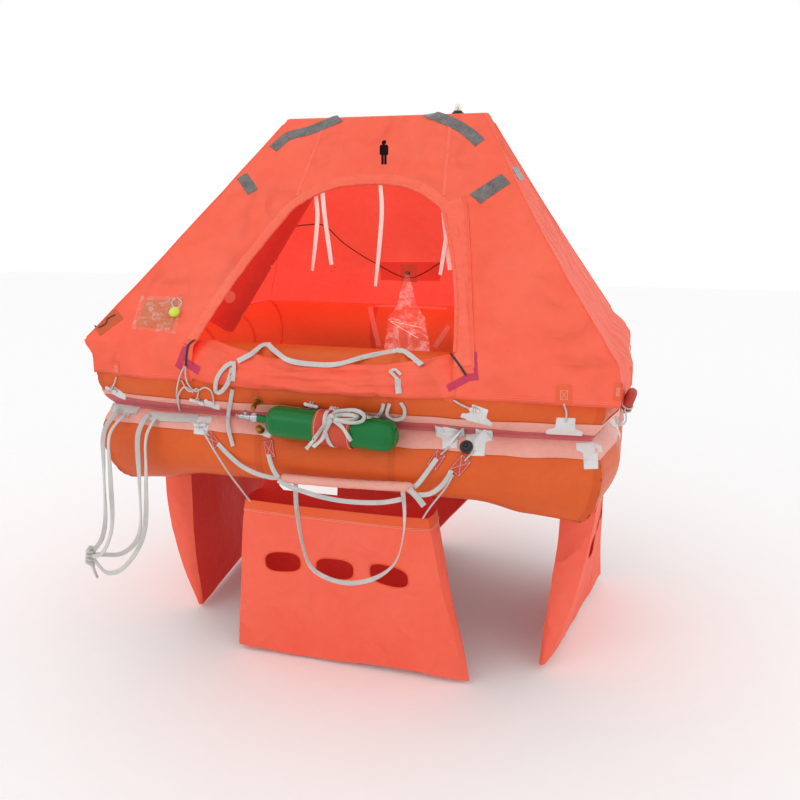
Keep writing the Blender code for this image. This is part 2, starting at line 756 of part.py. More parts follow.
def make_pocket(side):
    """One open ballast pocket, with three drain holes in its outer face."""
    # height share from mouth to bottom, half-width, share of the bag's depth
    low_half = POCKET_HANG[side][0]
    table = [(0.0, 0.330, 1.00), (0.12, 0.345, 1.00), (0.45, 0.372, 0.85),
             (0.80, 0.3 * 0.372 + 0.7 * low_half, 0.45), (1.0, low_half, 0.16)]
    finer = [table[0]]
    for before, after in zip(table, table[1:]):
        for k in (1, 2):
            finer.append(tuple(a + (b - a) * k / 2 for a, b in zip(before, after)))
    drop = POCKET_TOP_Z - POCKET_BOTTOM_Z
    middle = (POCKET_OUT + POCKET_IN) / 2
    shells = []
    for inset in (0.0, CLOTH):
        rings = []
        for share, half, depth in finer:
            z = POCKET_TOP_Z - drop * share + (inset if share == 1.0 else 0.0)
            ear_z = POCKET_EAR_Z if share == 0.0 else z
            reach = (POCKET_OUT - POCKET_IN) / 2 * depth
            section = pocket_section(half, middle + reach, middle - reach, z, ear_z, inset)
            ring = []
            for a, o, h in section:
                shift, swing = pocket_hang(side, share, a, half)
                ring.append(side_point(side, a + shift, o + swing, h))
            rings.append(ring)
        shells.append(rings)
    verts, faces = open_bag(*shells)
    bag = add_solid(f"pocket_{side}", verts, faces, "pocket_fabric")
    for i, along in enumerate((-0.19, 0.0, 0.19)):
        z = POCKET_TOP_Z - 0.215
        hole = []
        for out in (-0.010, 0.12):
            ring = []
            for k in range(16):
                angle = 2 * math.pi * k / 16
                ring.append(side_point(side, along + 0.064 * math.cos(angle), out,
                                       z + 0.036 * math.sin(angle)))
            hole.append(ring)
        boolean(bag, add_loft(f"drain_{side}_{i}", hole, "pocket_fabric"), "DIFFERENCE")


def smooth_route(points, count):
    """Points spaced evenly on a smooth curve through the route's own points."""
    pts = [Vector(p) for p in points]
    pts = [pts[0] * 2 - pts[1]] + pts + [pts[-1] * 2 - pts[-2]]
    dense = []
    for i in range(1, len(pts) - 2):
        for k in range(24):
            t = k / 24
            a, b, c, d = pts[i - 1:i + 3]
            dense.append(0.5 * ((2 * b) + (c - a) * t + (2 * a - 5 * b + 4 * c - d) * t * t
                                + (3 * b - a - 3 * c + d) * t ** 3))
    dense.append(pts[-2])
    lengths = [0.0]
    for a, b in zip(dense, dense[1:]):
        lengths.append(lengths[-1] + (b - a).length)
    route = []
    j = 0
    for k in range(count):
        want = lengths[-1] * k / (count - 1)
        while j < len(dense) - 2 and lengths[j + 1] < want:
            j += 1
        share = (want - lengths[j]) / max(1e-9, lengths[j + 1] - lengths[j])
        route.append(dense[j].lerp(dense[j + 1], min(1.0, share)))
    return route


def add_cord(name, points, radius, count):
    """A plain round tube along a route."""
    curve = bpy.data.curves.new(name, "CURVE")
    curve.dimensions = "3D"
    curve.bevel_depth = radius
    curve.bevel_resolution = 2
    curve.use_fill_caps = True
    spline = curve.splines.new("POLY")
    route = smooth_route(points, count)
    spline.points.add(len(route) - 1)
    for slot, p in zip(spline.points, route):
        slot.co = (*p, 1.0)
    item = bpy.data.objects.new(name, curve)
    bpy.context.scene.collection.objects.link(item)
    curve.materials.append(make_material("webbing"))
    return item


KNOT = Vector((-0.905, -0.712, -0.545))
KNOT_R = 0.0125
CORD_R = 0.004
# name, share of the front's half-length, angle on the band and height over it where the
# strand starts, route down towards the knot, the way it comes into the knot
MOORING_ROUTES = [
    ("mooring_strand_1", -0.943, 45, 0.0034,
     [(-0.800, -0.712, -0.075), (-0.806, -0.724, -0.200), (-0.820, -0.720, -0.380),
      (-0.848, -0.712, -0.470)], (0.60, 0.08, 0.80)),
    ("mooring_strand_2", -0.905, 40, 0.0030,
     [(-0.768, -0.728, -0.080), (-0.772, -0.738, -0.220), (-0.782, -0.738, -0.400),
      (-0.825, -0.736, -0.505)], (0.88, -0.43, 0.20)),
    ("mooring_strand_3", -0.820, 45, 0.0014,
     [(-0.660, -0.724, -0.075), (-0.666, -0.728, -0.230), (-0.690, -0.716, -0.430),
      (-0.780, -0.694, -0.528)], (0.86, 0.51, 0.00)),
    ("mooring_strand_4", -0.785, 40, 0.0001,
     [(-0.626, -0.730, -0.080), (-0.630, -0.740, -0.210), (-0.655, -0.742, -0.420),
      (-0.745, -0.735, -0.555), (-0.835, -0.718, -0.602)], (0.70, 0.00, -0.714)),
]
BAND_LIFT = 0.0043       # outer face of a band over its tube


def make_mooring():
    """Webbing strands that hang from the band at the left and meet in a knot."""
    for name, share, degrees, height, route, way in MOORING_ROUTES:
        angle = math.radians(degrees)
        start = []
        for lift in (BAND_LIFT + height, BAND_LIFT + height + 0.012):
            reach = TUBE_R + lift
            start.append(tube_place("front", share, reach * math.cos(angle),
                                    -TUBE_RISE + reach * math.sin(angle), sag=True))
        way = Vector(way).normalized()
        seat = KNOT + way * (KNOT_R + GAP)
        add_cord(name, [*start, *route, seat + way * 0.022, seat], CORD_R, 44)
    rings = []
    for i in range(7):
        tilt = math.radians(-75 + 150 * i / 6)
        reach = KNOT_R * math.cos(tilt)
        z = KNOT_R * math.sin(tilt)
        ring = []
        for k in range(10):
            angle = math.pi * k / 5
            ring.append(KNOT + Vector((reach * math.cos(angle), reach * math.sin(angle), z)))
        rings.append(ring)
    add_loft("mooring_knot", rings, "webbing")


# name, route, points along the finished cord
LADDER_ROUTES = [
    ("ladder_stirrup",
     [(-0.095, -0.716, -0.1874), (-0.096, -0.716, -0.260), (-0.086, -0.716, -0.358),
      (-0.066, -0.716, -0.447), (-0.040, -0.716, -0.488), (0.020, -0.716, -0.513),
      (0.085, -0.716, -0.516), (0.150, -0.716, -0.497), (0.205, -0.716, -0.462),
      (0.242, -0.716, -0.415), (0.262, -0.716, -0.340), (0.268, -0.716, -0.260),
      (0.262, -0.716, -0.1790)], 60),
    ("ladder_bridle_left",
     [(-0.345, -0.7048, -0.1004), (-0.344, -0.7052, -0.1130), (-0.300, -0.712, -0.140),
      (-0.240, -0.716, -0.165), (-0.185, -0.716, -0.1770), (-0.1504, -0.716, -0.1780)], 20),
    ("ladder_bridle_right",
     [(0.395, -0.7048, -0.0880), (0.394, -0.7060, -0.1020), (0.378, -0.712, -0.128),
      (0.350, -0.716, -0.152), (0.322, -0.716, -0.1650), (0.2984, -0.716, -0.1660)], 20),
]


def make_ladder():
    """Boarding step on its webbing, with a stirrup under it."""
    left = Vector((-0.150, -0.716, -0.178))
    right = Vector((0.298, -0.716, -0.166))
    span = (right - left).length
    profile = [(0.0, 0.006), (0.006, 0.011), (span - 0.006, 0.011), (span, 0.006)]
    turned("ladder_step", profile, left, right - left, "band_fabric", sides=12)
    for name, points, count in LADDER_ROUTES:
        add_cord(name, points, CORD_R, count)


def make_lamp():
    """Lamp on the ridge of the canopy."""
    top = ARCH_TOP_Z + ARCH_R + CLOTH + GAP
    turned("roof_lamp_base", [(0.0, 0.022), (0.004, 0.022), (0.006, 0.016), (0.010, 0.015)],
           (0.262, 0.0, top + 0.0006), (0, 0, 1), "black_plastic", sides=16)
    turned("roof_lamp_lens", [(0.0, 0.012), (0.010, 0.0125), (0.020, 0.010), (0.026, 0.004)],
           (0.262, 0.0, top + 0.0109), (0, 0, 1), "lens", sides=16)


QUOIT_R = 0.026          # middle of the quoit's rubber
QUOIT_ROUND = 0.014      # radius of the rubber itself


def make_quoit():
    """Rescue quoit, a small rubber ring that hangs by the right end."""
    centre = Vector((0.9138, -0.585, 0.118))
    rings = []
    tilt = math.radians(20)
    side = Vector((0, 1, 0))
    up = Vector((math.sin(tilt), 0, math.cos(tilt)))
    out = Vector((math.cos(tilt), 0, -math.sin(tilt)))
    for i in range(16):
        angle = 2 * math.pi * i / 16
        spoke = side * math.cos(angle) + up * math.sin(angle)
        ring = []
        for k in range(8):
            turn = 2 * math.pi * k / 8
            reach = QUOIT_R + QUOIT_ROUND * math.cos(turn)
            ring.append(centre + spoke * reach + out * QUOIT_ROUND * math.sin(turn))
        rings.append(ring)
    add_loft("rescue_quoit", rings, "quoit_rubber", closed=True)


def slope_block(name, x0, x1, z0, z1, thick, finish):
    """A flat pouch on the front slope of the canopy, beside the door."""
    rings = []
    for z in (z0, z1):
        normal = Vector((0, -0.77, 0.64))
        base = [Vector((x, -front_depth(z) - RIDGE_SEAM, z)) + normal * GAP for x in (x0, x1)]
        rings.append([base[0], base[1], base[1] + normal * thick, base[0] + normal * thick])
    add_loft(name, rings, finish)


def make_pouches():
    """Flat pouches and the signal bulb on the canopy's front."""
    slope_block("label_pouch", -0.690, -0.540, 0.290, 0.375, 0.004, "label_fabric")
    slope_block("hip_pouch", -0.815, -0.740, 0.268, 0.330, 0.006, "label_fabric")
    normal = Vector((0, -0.77, 0.64))
    z = 0.330
    base = Vector((-0.560, -front_depth(z) - RIDGE_SEAM, z)) + normal * 0.0049
    turned("signal_bulb", [(0.0, 0.010), (0.006, 0.017), (0.014, 0.017), (0.024, 0.010)],
           base, normal, "lamp_yellow", sides=16)


def make_cabin_fittings():
    """Rain-water bag against the back tube, inside the cabin."""
    rings = []
    for z, half, thick in ((0.215, 0.070, 0.004), (0.20, 0.085, 0.012), (0.06, 0.110, 0.030),
                           (-0.02, 0.100, 0.020), (-0.03, 0.080, 0.004)):
        rings.append([Vector((RAIN_BAG_X + sx * half, RAIN_BAG_Y - sy * thick, z))
                      for sx, sy in ((-1, 0), (-1, 1), (1, 1), (1, 0))])
    add_loft("rain_bag", rings, "clear_film")


def main():
    """Build every piece of the raft."""
    clear_scene()
    make_buoyancy_tubes()
    make_bands()
    make_floor()
    make_arch()
    make_front_canopy()
    make_back_canopy()
    make_side_canopies()
    make_door_flap()
    make_gas_cylinder()
    make_valves()
    for side in SIDES:
        make_pocket(side)
    make_mooring()
    make_ladder()
    make_lamp()
    make_quoit()
    make_pouches()
    make_cabin_fittings()


main()
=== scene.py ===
"""Looks of a four-person inflatable life raft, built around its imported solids.

Lengths are metres in the raft's own frame: +Z up, the door faces -Y, +X is to the right of
the door, and the origin is the middle of the plan on the joint of the two buoyancy tubes.
"""

import logging
import math
from dataclasses import dataclass, field
from enum import Enum
from typing import Callable, Iterable, Sequence

import bmesh
import bpy
import numpy as np
from mathutils import Matrix, Vector, noise
from mathutils.bvhtree import BVHTree


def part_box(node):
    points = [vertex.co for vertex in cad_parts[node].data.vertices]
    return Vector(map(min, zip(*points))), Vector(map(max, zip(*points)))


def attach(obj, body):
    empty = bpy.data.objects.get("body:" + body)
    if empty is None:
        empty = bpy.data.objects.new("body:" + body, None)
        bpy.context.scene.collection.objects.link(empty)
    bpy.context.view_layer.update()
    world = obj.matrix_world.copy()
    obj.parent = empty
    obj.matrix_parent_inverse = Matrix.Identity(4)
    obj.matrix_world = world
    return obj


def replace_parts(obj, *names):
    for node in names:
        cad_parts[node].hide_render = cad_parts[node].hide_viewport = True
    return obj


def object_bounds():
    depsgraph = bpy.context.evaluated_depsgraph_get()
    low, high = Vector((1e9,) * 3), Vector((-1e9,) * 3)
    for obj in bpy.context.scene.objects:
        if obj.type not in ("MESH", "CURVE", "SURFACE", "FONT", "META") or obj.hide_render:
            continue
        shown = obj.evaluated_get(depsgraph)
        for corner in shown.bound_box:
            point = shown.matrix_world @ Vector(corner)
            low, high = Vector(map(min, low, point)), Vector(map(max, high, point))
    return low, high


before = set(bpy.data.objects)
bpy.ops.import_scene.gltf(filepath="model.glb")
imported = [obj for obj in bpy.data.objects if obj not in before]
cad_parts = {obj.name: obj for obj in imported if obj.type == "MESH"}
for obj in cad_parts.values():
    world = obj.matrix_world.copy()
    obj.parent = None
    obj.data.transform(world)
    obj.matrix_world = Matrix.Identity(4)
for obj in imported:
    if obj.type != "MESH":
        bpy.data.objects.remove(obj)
CAD_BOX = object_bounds()
LOG = logging.getLogger("life_raft")
BODY = "root"

# Sizes of the solids
TUBE_R = 0.12
TUBE_RISE = 0.112
AXIS_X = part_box("upper_tube_right")[1].x - TUBE_R
AXIS_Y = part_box("upper_tube_back")[1].y - TUBE_R
CORNER_REACH = 0.60
CORNER_DROOP = 0.045
STRAIGHT = 0.77
HEM_Z = 0.118
KNUCKLE_Z = 0.235
ARCH_R = 0.085
ARCH_TOP_Z = 0.905
ARCH_SHOULDER_X = 0.27
ARCH_FOOT_X = 0.757
ARCH_FOOT_Z = 0.20
ARCH_SLOPE = math.atan2(ARCH_TOP_Z - ARCH_FOOT_Z, ARCH_FOOT_X - ARCH_SHOULDER_X)
VALVE_ANGLE = 37.5

# Fineness of smooth curves, steps between two points of a route
SPAN_STEPS = 24

Colour = tuple[float, float, float]
Point = tuple[float, float, float]
Pixel = tuple[float, float]
Flat = tuple[float, float]


class Side(Enum):
    """The four sides of the raft: run along the tube and way outwards, as X and Y."""

    FRONT = ((1, 0), (0, -1))
    RIGHT = ((0, 1), (1, 0))
    BACK = ((-1, 0), (0, 1))
    LEFT = ((0, -1), (-1, 0))

    @property
    def half(self) -> float:
        """Half-length of the tube's axis along this side."""
        return AXIS_X if self in (Side.FRONT, Side.BACK) else AXIS_Y

    @property
    def offset(self) -> float:
        """Distance of the tube's axis from the middle of the raft."""
        return AXIS_Y if self in (Side.FRONT, Side.BACK) else AXIS_X

    @property
    def run(self) -> Vector:
        """Direction along the side."""
        return Vector((*self.value[0], 0))

    @property
    def face(self) -> Vector:
        """Direction outwards from the side."""
        return Vector((*self.value[1], 0))

    @property
    def tag(self) -> str:
        """The side's name in the names of nodes and pieces."""
        return self.name.lower()

    def place(self, along: float, out: float, z: float) -> Vector:
        """A point of this side.

        Args:
            along: Run along the side from its middle.
            out: Reach outwards past the tube's axis.
            z: Height.

        Returns:
            The point.
        """
        run, face = self.value
        reach = self.offset + out
        return Vector((run[0] * along + face[0] * reach, run[1] * along + face[1] * reach, z))


OTHER_SIDES = (Side.RIGHT, Side.BACK, Side.LEFT)


class Level(Enum):
    """The two buoyancy tubes, by the height of their axis."""

    UPPER = TUBE_RISE
    LOWER = -TUBE_RISE


def srgb(red: int, green: int, blue: int) -> Colour:
    """Linear colour of an 8-bit screen colour.

    Args:
        red: Red from 0 to 255.
        green: Green from 0 to 255.
        blue: Blue from 0 to 255.

    Returns:
        The colour as shaders take it.
    """
    def linear(value: int) -> float:
        """One channel, by the screen's own curve."""
        share = value / 255
        return share / 12.92 if share <= 0.04045 else ((share + 0.055) / 1.055) ** 2.4

    return linear(red), linear(green), linear(blue)


def ease(share: float) -> float:
    """A smooth step from 0 to 1."""
    t = min(1.0, max(0.0, share))
    return t * t * (3 - 2 * t)


def turns(count: int) -> list[float]:
    """Angles spaced evenly round a circle, in radians."""
    return [2 * math.pi * k / count for k in range(count)]


def oval(wide: float, tall: float, count: int) -> list[Flat]:
    """An oval by its two half axes."""
    return [(wide * math.cos(a), tall * math.sin(a)) for a in turns(count)]


def read_table(table: Sequence[Sequence[float]], at: float) -> list[float]:
    """Values of a table's later columns at a value of its first one, which rises."""
    keys, *columns = zip(*table)
    return [float(np.interp(at, keys, column)) for column in columns]


def smooth_route(points: Iterable[Sequence[float]], count: int) -> list[Vector]:
    """Points spaced evenly on a smooth curve through the route's own points.

    Args:
        points: The route's own points.
        count: How many points to return.

    Returns:
        The evenly spaced points.
    """
    pts = [Vector(p) for p in points]
    pts = [pts[0] * 2 - pts[1], *pts, pts[-1] * 2 - pts[-2]]
    dense = []
    for i in range(1, len(pts) - 2):
        a, b, c, d = pts[i - 1:i + 3]
        for k in range(SPAN_STEPS):
            t = k / SPAN_STEPS
            dense.append(0.5 * ((2 * b) + (c - a) * t + (2 * a - 5 * b + 4 * c - d) * t * t
                                + (3 * b - a - 3 * c + d) * t ** 3))
    dense.append(pts[-2])
    line = np.array(dense)
    run = np.concatenate([[0.0], np.cumsum(np.linalg.norm(np.diff(line, axis=0), axis=1))])
    want = np.linspace(0, run[-1], count)
    return [Vector(p) for p in np.stack([np.interp(want, run, line[:, k]) for k in range(3)], 1)]


def route_length(route: Sequence[Vector]) -> float:
    """Length of a line through points."""
    return sum((b - a).length for a, b in zip(route, route[1:]))


def heading(route: Sequence[Vector], i: int) -> Vector:
    """Direction of a route at one of its points."""
    return (route[min(i + 1, len(route) - 1)] - route[max(i - 1, 0)]).normalized()


# The camera


@dataclass(frozen=True)
class PhotoView:
    """The camera that took the photograph, as its place, aim and focal length."""

    azimuth: float = 16.95
    distance: float = 3.11
    height: float = 0.672
    turn: float = -0.82
    pitch: float = 13.53
    roll: float = -0.03
    focal_px: float = 804.5
    frame_px: float = 800.0
    sensor: float = 36.0
    clip: Flat = (0.05, 60.0)

    def axes(self) -> tuple[Vector, Vector, Vector, Vector]:
        """The camera's frame.

        Returns:
            The camera's place, and its forward, right and up directions.
        """
        az = math.radians(self.azimuth)
        yaw = az + math.radians(self.turn)
        pitch = math.radians(self.pitch)
        roll = math.radians(self.roll)
        place = Vector((math.sin(az) * self.distance, -math.cos(az) * self.distance, self.height))
        forward = Vector((-math.sin(yaw) * math.cos(pitch), math.cos(yaw) * math.cos(pitch),
                          -math.sin(pitch)))
        level = Vector((math.cos(yaw), math.sin(yaw), 0))
        up = level.cross(forward)
        right = level * math.cos(roll) + up * math.sin(roll)
        return place, forward, right, right.cross(forward)

    def ray(self, pixel: Pixel) -> tuple[Vector, Vector]:
        """The line of sight through a pixel of the photograph.

        Args:
            pixel: The pixel, counted from the photograph's upper left corner.

        Returns:
            The line's start and direction.
        """
        place, forward, right, up = self.axes()
        half = self.frame_px / 2
        way = forward * self.focal_px + right * (pixel[0] - half) + up * (half - pixel[1])
        return place, way.normalized()

    def on_plane(self, pixel: Pixel, y: float) -> Vector:
        """The point that a pixel shows on the upright plane at y."""
        start, way = self.ray(pixel)
        return start + way * ((y - start.y) / way.y)

    def build(self) -> bpy.types.Object:
        """Make Blender's camera.

        Returns:
            The camera, made the scene's own.
        """
        place, forward, right, up = self.axes()
        data = bpy.data.cameras.new("photo_camera")
        data.sensor_width = self.sensor
        data.lens = self.focal_px / self.frame_px * self.sensor
        data.clip_start, data.clip_end = self.clip
        item = bpy.data.objects.new("photo_camera", data)
        bpy.context.scene.collection.objects.link(item)
        item.matrix_world = Matrix(((right.x, up.x, -forward.x, place.x),
                                    (right.y, up.y, -forward.y, place.y),
                                    (right.z, up.z, -forward.z, place.z),
                                    (0, 0, 0, 1)))
        bpy.context.scene.camera = item
        return item


VIEW = PhotoView()
TOWARD = -VIEW.axes()[1]


# Materials


class Nodes:
    """A node tree with short ways to add and join nodes."""

    def __init__(self, tree: bpy.types.NodeTree) -> None:
        """Keep the tree."""
        self.tree = tree

    def add(self, kind: str, **values: object) -> bpy.types.Node:
        """Add a node.

        Args:
            kind: Blender's name of the node's type.
            **values: Properties of the node, or default values of its inputs, whose
                spaces are written as underscores.

        Returns:
            The new node.
        """
        node = self.tree.nodes.new(kind)
        for key, value in values.items():
            if hasattr(node, key):
                setattr(node, key, value)
            else:
                node.inputs[key.replace("_", " ")].default_value = value
        return node

    def link(self, source: bpy.types.NodeSocket, target: bpy.types.NodeSocket) -> None:
        """Join two sockets."""
        self.tree.links.new(source, target)

    def math(self, operation: str, first: object, second: object = 0.0) -> bpy.types.NodeSocket:
        """Work out a sum.

        Args:
            operation: Blender's name of the sum.
            first: A socket or a number.
            second: A socket or a number.

        Returns:
            The socket with the result.
        """
        node = self.add("ShaderNodeMath", operation=operation)
        for slot, value in enumerate((first, second)):
            if isinstance(value, bpy.types.NodeSocket):
                self.link(value, node.inputs[slot])
            else:
                node.inputs[slot].default_value = value
        return node.outputs[0]

    def spread(self, value: bpy.types.NodeSocket, **limits: float) -> bpy.types.NodeSocket:
        """Stretch a value between limits.

        Args:
            value: The socket with the value.
            **limits: Any of From_Min, From_Max, To_Min and To_Max.

        Returns:
            The socket with the result.
        """
        node = self.add("ShaderNodeMapRange", **limits)
        self.link(value, node.inputs["Value"])
        return node.outputs[0]

    def group(self, tree: bpy.types.NodeTree, **values: float) -> dict[str, bpy.types.NodeSocket]:
        """Place a shared group.

        Args:
            tree: The group.
            **values: This material's own values of its inputs.

        Returns:
            The group's sockets out, by name.
        """
        node = self.add("ShaderNodeGroup")
        node.node_tree = tree
        for key, value in values.items():
            node.inputs[key].default_value = value
        return dict(node.outputs.items())

    def bumps(self, shader: bpy.types.Node,
              layers: Sequence[tuple[bpy.types.NodeSocket, float]]) -> None:
        """Feed the shader's normal from a chain of bumps.

        Args:
            shader: The material's shader.
            layers: Heights, each with its depth in metres.
        """
        last = None
        for height, depth in layers:
            bump = self.add("ShaderNodeBump", Strength=1.0, Distance=depth)
            self.link(height, bump.inputs["Height"])
            if last is not None:
                self.link(last, bump.inputs["Normal"])
            last = bump.outputs[0]
        self.link(last, shader.inputs["Normal"])


def new_group(name: str, inputs: dict[str, float], outputs: Sequence[str],
              ) -> tuple[Nodes, dict, dict]:
    """Start a shader node group.

    Args:
        name: The group's name.
        inputs: Default value of each number that goes in.
        outputs: Names of the numbers that come out.

    Returns:
        The group's nodes, its sockets in, and its sockets out.
    """
    tree = bpy.data.node_groups.new(name, "ShaderNodeTree")
    for key, value in inputs.items():
        socket = tree.interface.new_socket(name=key, in_out="INPUT", socket_type="NodeSocketFloat")
        socket.default_value = value
    for key in outputs:
        tree.interface.new_socket(name=key, in_out="OUTPUT", socket_type="NodeSocketFloat")
    nodes = Nodes(tree)
    start = nodes.add("NodeGroupInput")
    end = nodes.add("NodeGroupOutput")
    return nodes, dict(start.outputs.items()), dict(end.inputs.items())


def weave_group() -> bpy.types.NodeTree:
    """Fine woven ground of coated cloth and webbing.

    Returns:
        The group; Pitch is the threads' spacing in metres.
    """
    nodes, into, out = new_group("weave", {"Pitch": 0.002}, ("Height",))
    place = nodes.add("ShaderNodeTexCoord")
    split = nodes.add("ShaderNodeSeparateXYZ")
    nodes.link(place.outputs["Object"], split.inputs[0])
    rounds = nodes.math("DIVIDE", 2 * math.pi, into["Pitch"])
    across = nodes.math("ADD", split.outputs["X"], split.outputs["Y"])
    warp = nodes.math("SINE", nodes.math("MULTIPLY", across, rounds))
    weft = nodes.math("SINE", nodes.math("MULTIPLY", split.outputs["Z"], rounds))
    nodes.link(nodes.math("MULTIPLY", warp, weft), out["Height"])
    return nodes.tree


def crease_group() -> bpy.types.NodeTree:
    """Soft irregular creases.

    Returns:
        The group; Scale is creases per metre, Sharp narrows them, Detail breaks them up.
    """
    nodes, into, out = new_group("creases", {"Scale": 8.0, "Sharp": 3.0, "Detail": 5.0},
                                 ("Height", "Mask"))
    place = nodes.add("ShaderNodeTexCoord")
    warp = nodes.add("ShaderNodeTexNoise", Detail=2.0, Roughness=0.5)
    nodes.link(place.outputs["Object"], warp.inputs["Vector"])
    nodes.link(nodes.math("MULTIPLY", into["Scale"], 0.6), warp.inputs["Scale"])
    shift = nodes.add("ShaderNodeVectorMath", operation="MULTIPLY_ADD")
    nodes.link(warp.outputs["Color"], shift.inputs[0])
    shift.inputs[1].default_value = (0.10, 0.10, 0.10)
    nodes.link(place.outputs["Object"], shift.inputs[2])
    fine = nodes.add("ShaderNodeTexNoise", Roughness=0.55)
    nodes.link(shift.outputs[0], fine.inputs["Vector"])
    for key in ("Scale", "Detail"):
        nodes.link(into[key], fine.inputs[key])
    centred = nodes.math("ABSOLUTE", nodes.math("SUBTRACT", fine.outputs[0], 0.5))
    ridge = nodes.math("SUBTRACT", 1.0, nodes.math("MULTIPLY", centred, 3.0))
    held = nodes.add("ShaderNodeClamp")
    nodes.link(ridge, held.inputs[0])
    mask = nodes.math("POWER", held.outputs[0], into["Sharp"])
    nodes.link(mask, out["Mask"])
    nodes.link(nodes.math("ADD", mask, fine.outputs[0]), out["Height"])
    return nodes.tree


def mottle_group() -> bpy.types.NodeTree:
    """Uneven tone from handling and fading.

    Returns:
        The group; Scale is patches per metre.
    """
    nodes, into, out = new_group("mottle", {"Scale": 3.0}, ("Mask",))
    place = nodes.add("ShaderNodeTexCoord")
    broad = nodes.add("ShaderNodeTexNoise", Detail=3.0, Roughness=0.6)
    fine = nodes.add("ShaderNodeTexNoise", Detail=4.0, Roughness=0.7)
    nodes.link(place.outputs["Object"], broad.inputs["Vector"])
    nodes.link(place.outputs["Object"], fine.inputs["Vector"])
    nodes.link(into["Scale"], broad.inputs["Scale"])
    nodes.link(nodes.math("MULTIPLY", into["Scale"], 14.0), fine.inputs["Scale"])
    part = nodes.math("MULTIPLY", fine.outputs[0], 0.3)
    total = nodes.math("ADD", nodes.math("MULTIPLY", broad.outputs[0], 0.7), part)
    nodes.link(nodes.spread(total, From_Min=0.32, From_Max=0.68), out["Mask"])
    return nodes.tree


WEAVE, CREASES, MOTTLE = weave_group(), crease_group(), mottle_group()


@dataclass(frozen=True)
class Finish:
    """What all the finishes share: a colour that goes unevenly into another one: a worn tone on cloth and
    hard skins, a painted near-white gleam on clear film.
    """

    name: str
    colour: Colour
    worn: Colour

    def material(self) -> bpy.types.Material:
        """Make the material, or find the one made before.

        Returns:
            The material.
        """
        name = f"{self.name}_finish"
        made = bpy.data.materials.get(name)
        if made is None:
            made = bpy.data.materials.new(name)
            made.use_nodes = True
            self.dress(Nodes(made.node_tree), made.node_tree.nodes["Principled BSDF"])
        return made

    def dress(self, nodes: Nodes, shader: bpy.types.Node) -> None:
        """Fill the material's nodes; each kind of finish has its own way."""
        raise NotImplementedError

    def paint(self, nodes: Nodes, shader: bpy.types.Node, mottle: float, glow: float = 0.0,
              ) -> bpy.types.NodeSocket:
        """Give the shader its uneven colour.

        Args:
            nodes: The material's nodes.
            shader: Its shader.
            mottle: Patches of uneven tone per metre.
            glow: Strength of a painted glow, emission that stands in for light coming through from behind.

        Returns:
            The mask of the uneven tone.
        """
        tone = nodes.group(MOTTLE, Scale=mottle)["Mask"]
        mix = nodes.add("ShaderNodeMix", data_type="RGBA")
        nodes.link(tone, mix.inputs["Factor"])
        mix.inputs[6].default_value = (*self.colour, 1)
        mix.inputs[7].default_value = (*self.worn, 1)
        nodes.link(mix.outputs[2], shader.inputs["Base Color"])
        # painted glow: the finish's own colour given off as light
        if glow:
            nodes.link(mix.outputs[2], shader.inputs["Emission Color"])
            shader.inputs["Emission Strength"].default_value = glow
        return tone

    def preset(self, shader: bpy.types.Node, **values: float) -> None:
        """Set plain values of the shader."""
        for key, value in values.items():
            shader.inputs[key.replace("_", " ")].default_value = value


@dataclass(frozen=True)
class Cloth(Finish):
    """A woven or coated cloth with its weave, creases and uneven tone."""

    roughness: float = 0.55
    pitch: float = 0.0016
    weave: float = 0.00006
    crease_scale: float = 9.0
    crease: float = 0.0016
    sharp: float = 3.0
    detail: float = 5.0
    mottle: float = 3.0
    gloss: float = 0.15
    coat: float = 0.0
    # strength of a painted glow: emission that stands in for light coming through the cloth
    glow: float = 0.0
    uneven: float = 0.07

    def dress(self, nodes: Nodes, shader: bpy.types.Node) -> None:
        """Fill the material's nodes.

        Args:
            nodes: The material's nodes.
            shader: Its shader.
        """
        tone = self.paint(nodes, shader, self.mottle, self.glow)
        folds = nodes.group(CREASES, Scale=self.crease_scale, Sharp=self.sharp, Detail=self.detail)
        threads = nodes.group(WEAVE, Pitch=self.pitch)
        nodes.link(nodes.spread(tone, To_Min=self.roughness - self.uneven,
                                To_Max=self.roughness + self.uneven), shader.inputs["Roughness"])
        self.preset(shader, Specular_IOR_Level=self.gloss, Coat_Weight=self.coat,
                    Coat_Roughness=0.25)
        nodes.bumps(shader, [(folds["Height"], self.crease), (threads["Height"], self.weave)])


@dataclass(frozen=True)
class Hard(Finish):
    """Metal, paint or plastic with a slightly uneven skin."""

    roughness: float = 0.3
    metallic: float = 0.0
    coat: float = 0.0
    gloss: float = 0.5
    skin: float = 0.0001
    skin_scale: float = 120.0
    mottle: float = 20.0

    def dress(self, nodes: Nodes, shader: bpy.types.Node) -> None:
        """Fill the material's nodes.

        Args:
            nodes: The material's nodes.
            shader: Its shader.
        """
        tone = self.paint(nodes, shader, self.mottle)
        skin_folds = nodes.group(CREASES, Scale=self.skin_scale, Sharp=1.0)
        nodes.link(nodes.spread(tone, To_Min=max(0.02, self.roughness - 0.05),
                                To_Max=self.roughness + 0.08), shader.inputs["Roughness"])
        self.preset(shader, Metallic=self.metallic, Specular_IOR_Level=self.gloss,
                    Coat_Weight=self.coat, Coat_Roughness=0.06)
        nodes.bumps(shader, [(skin_folds["Height"], self.skin)])


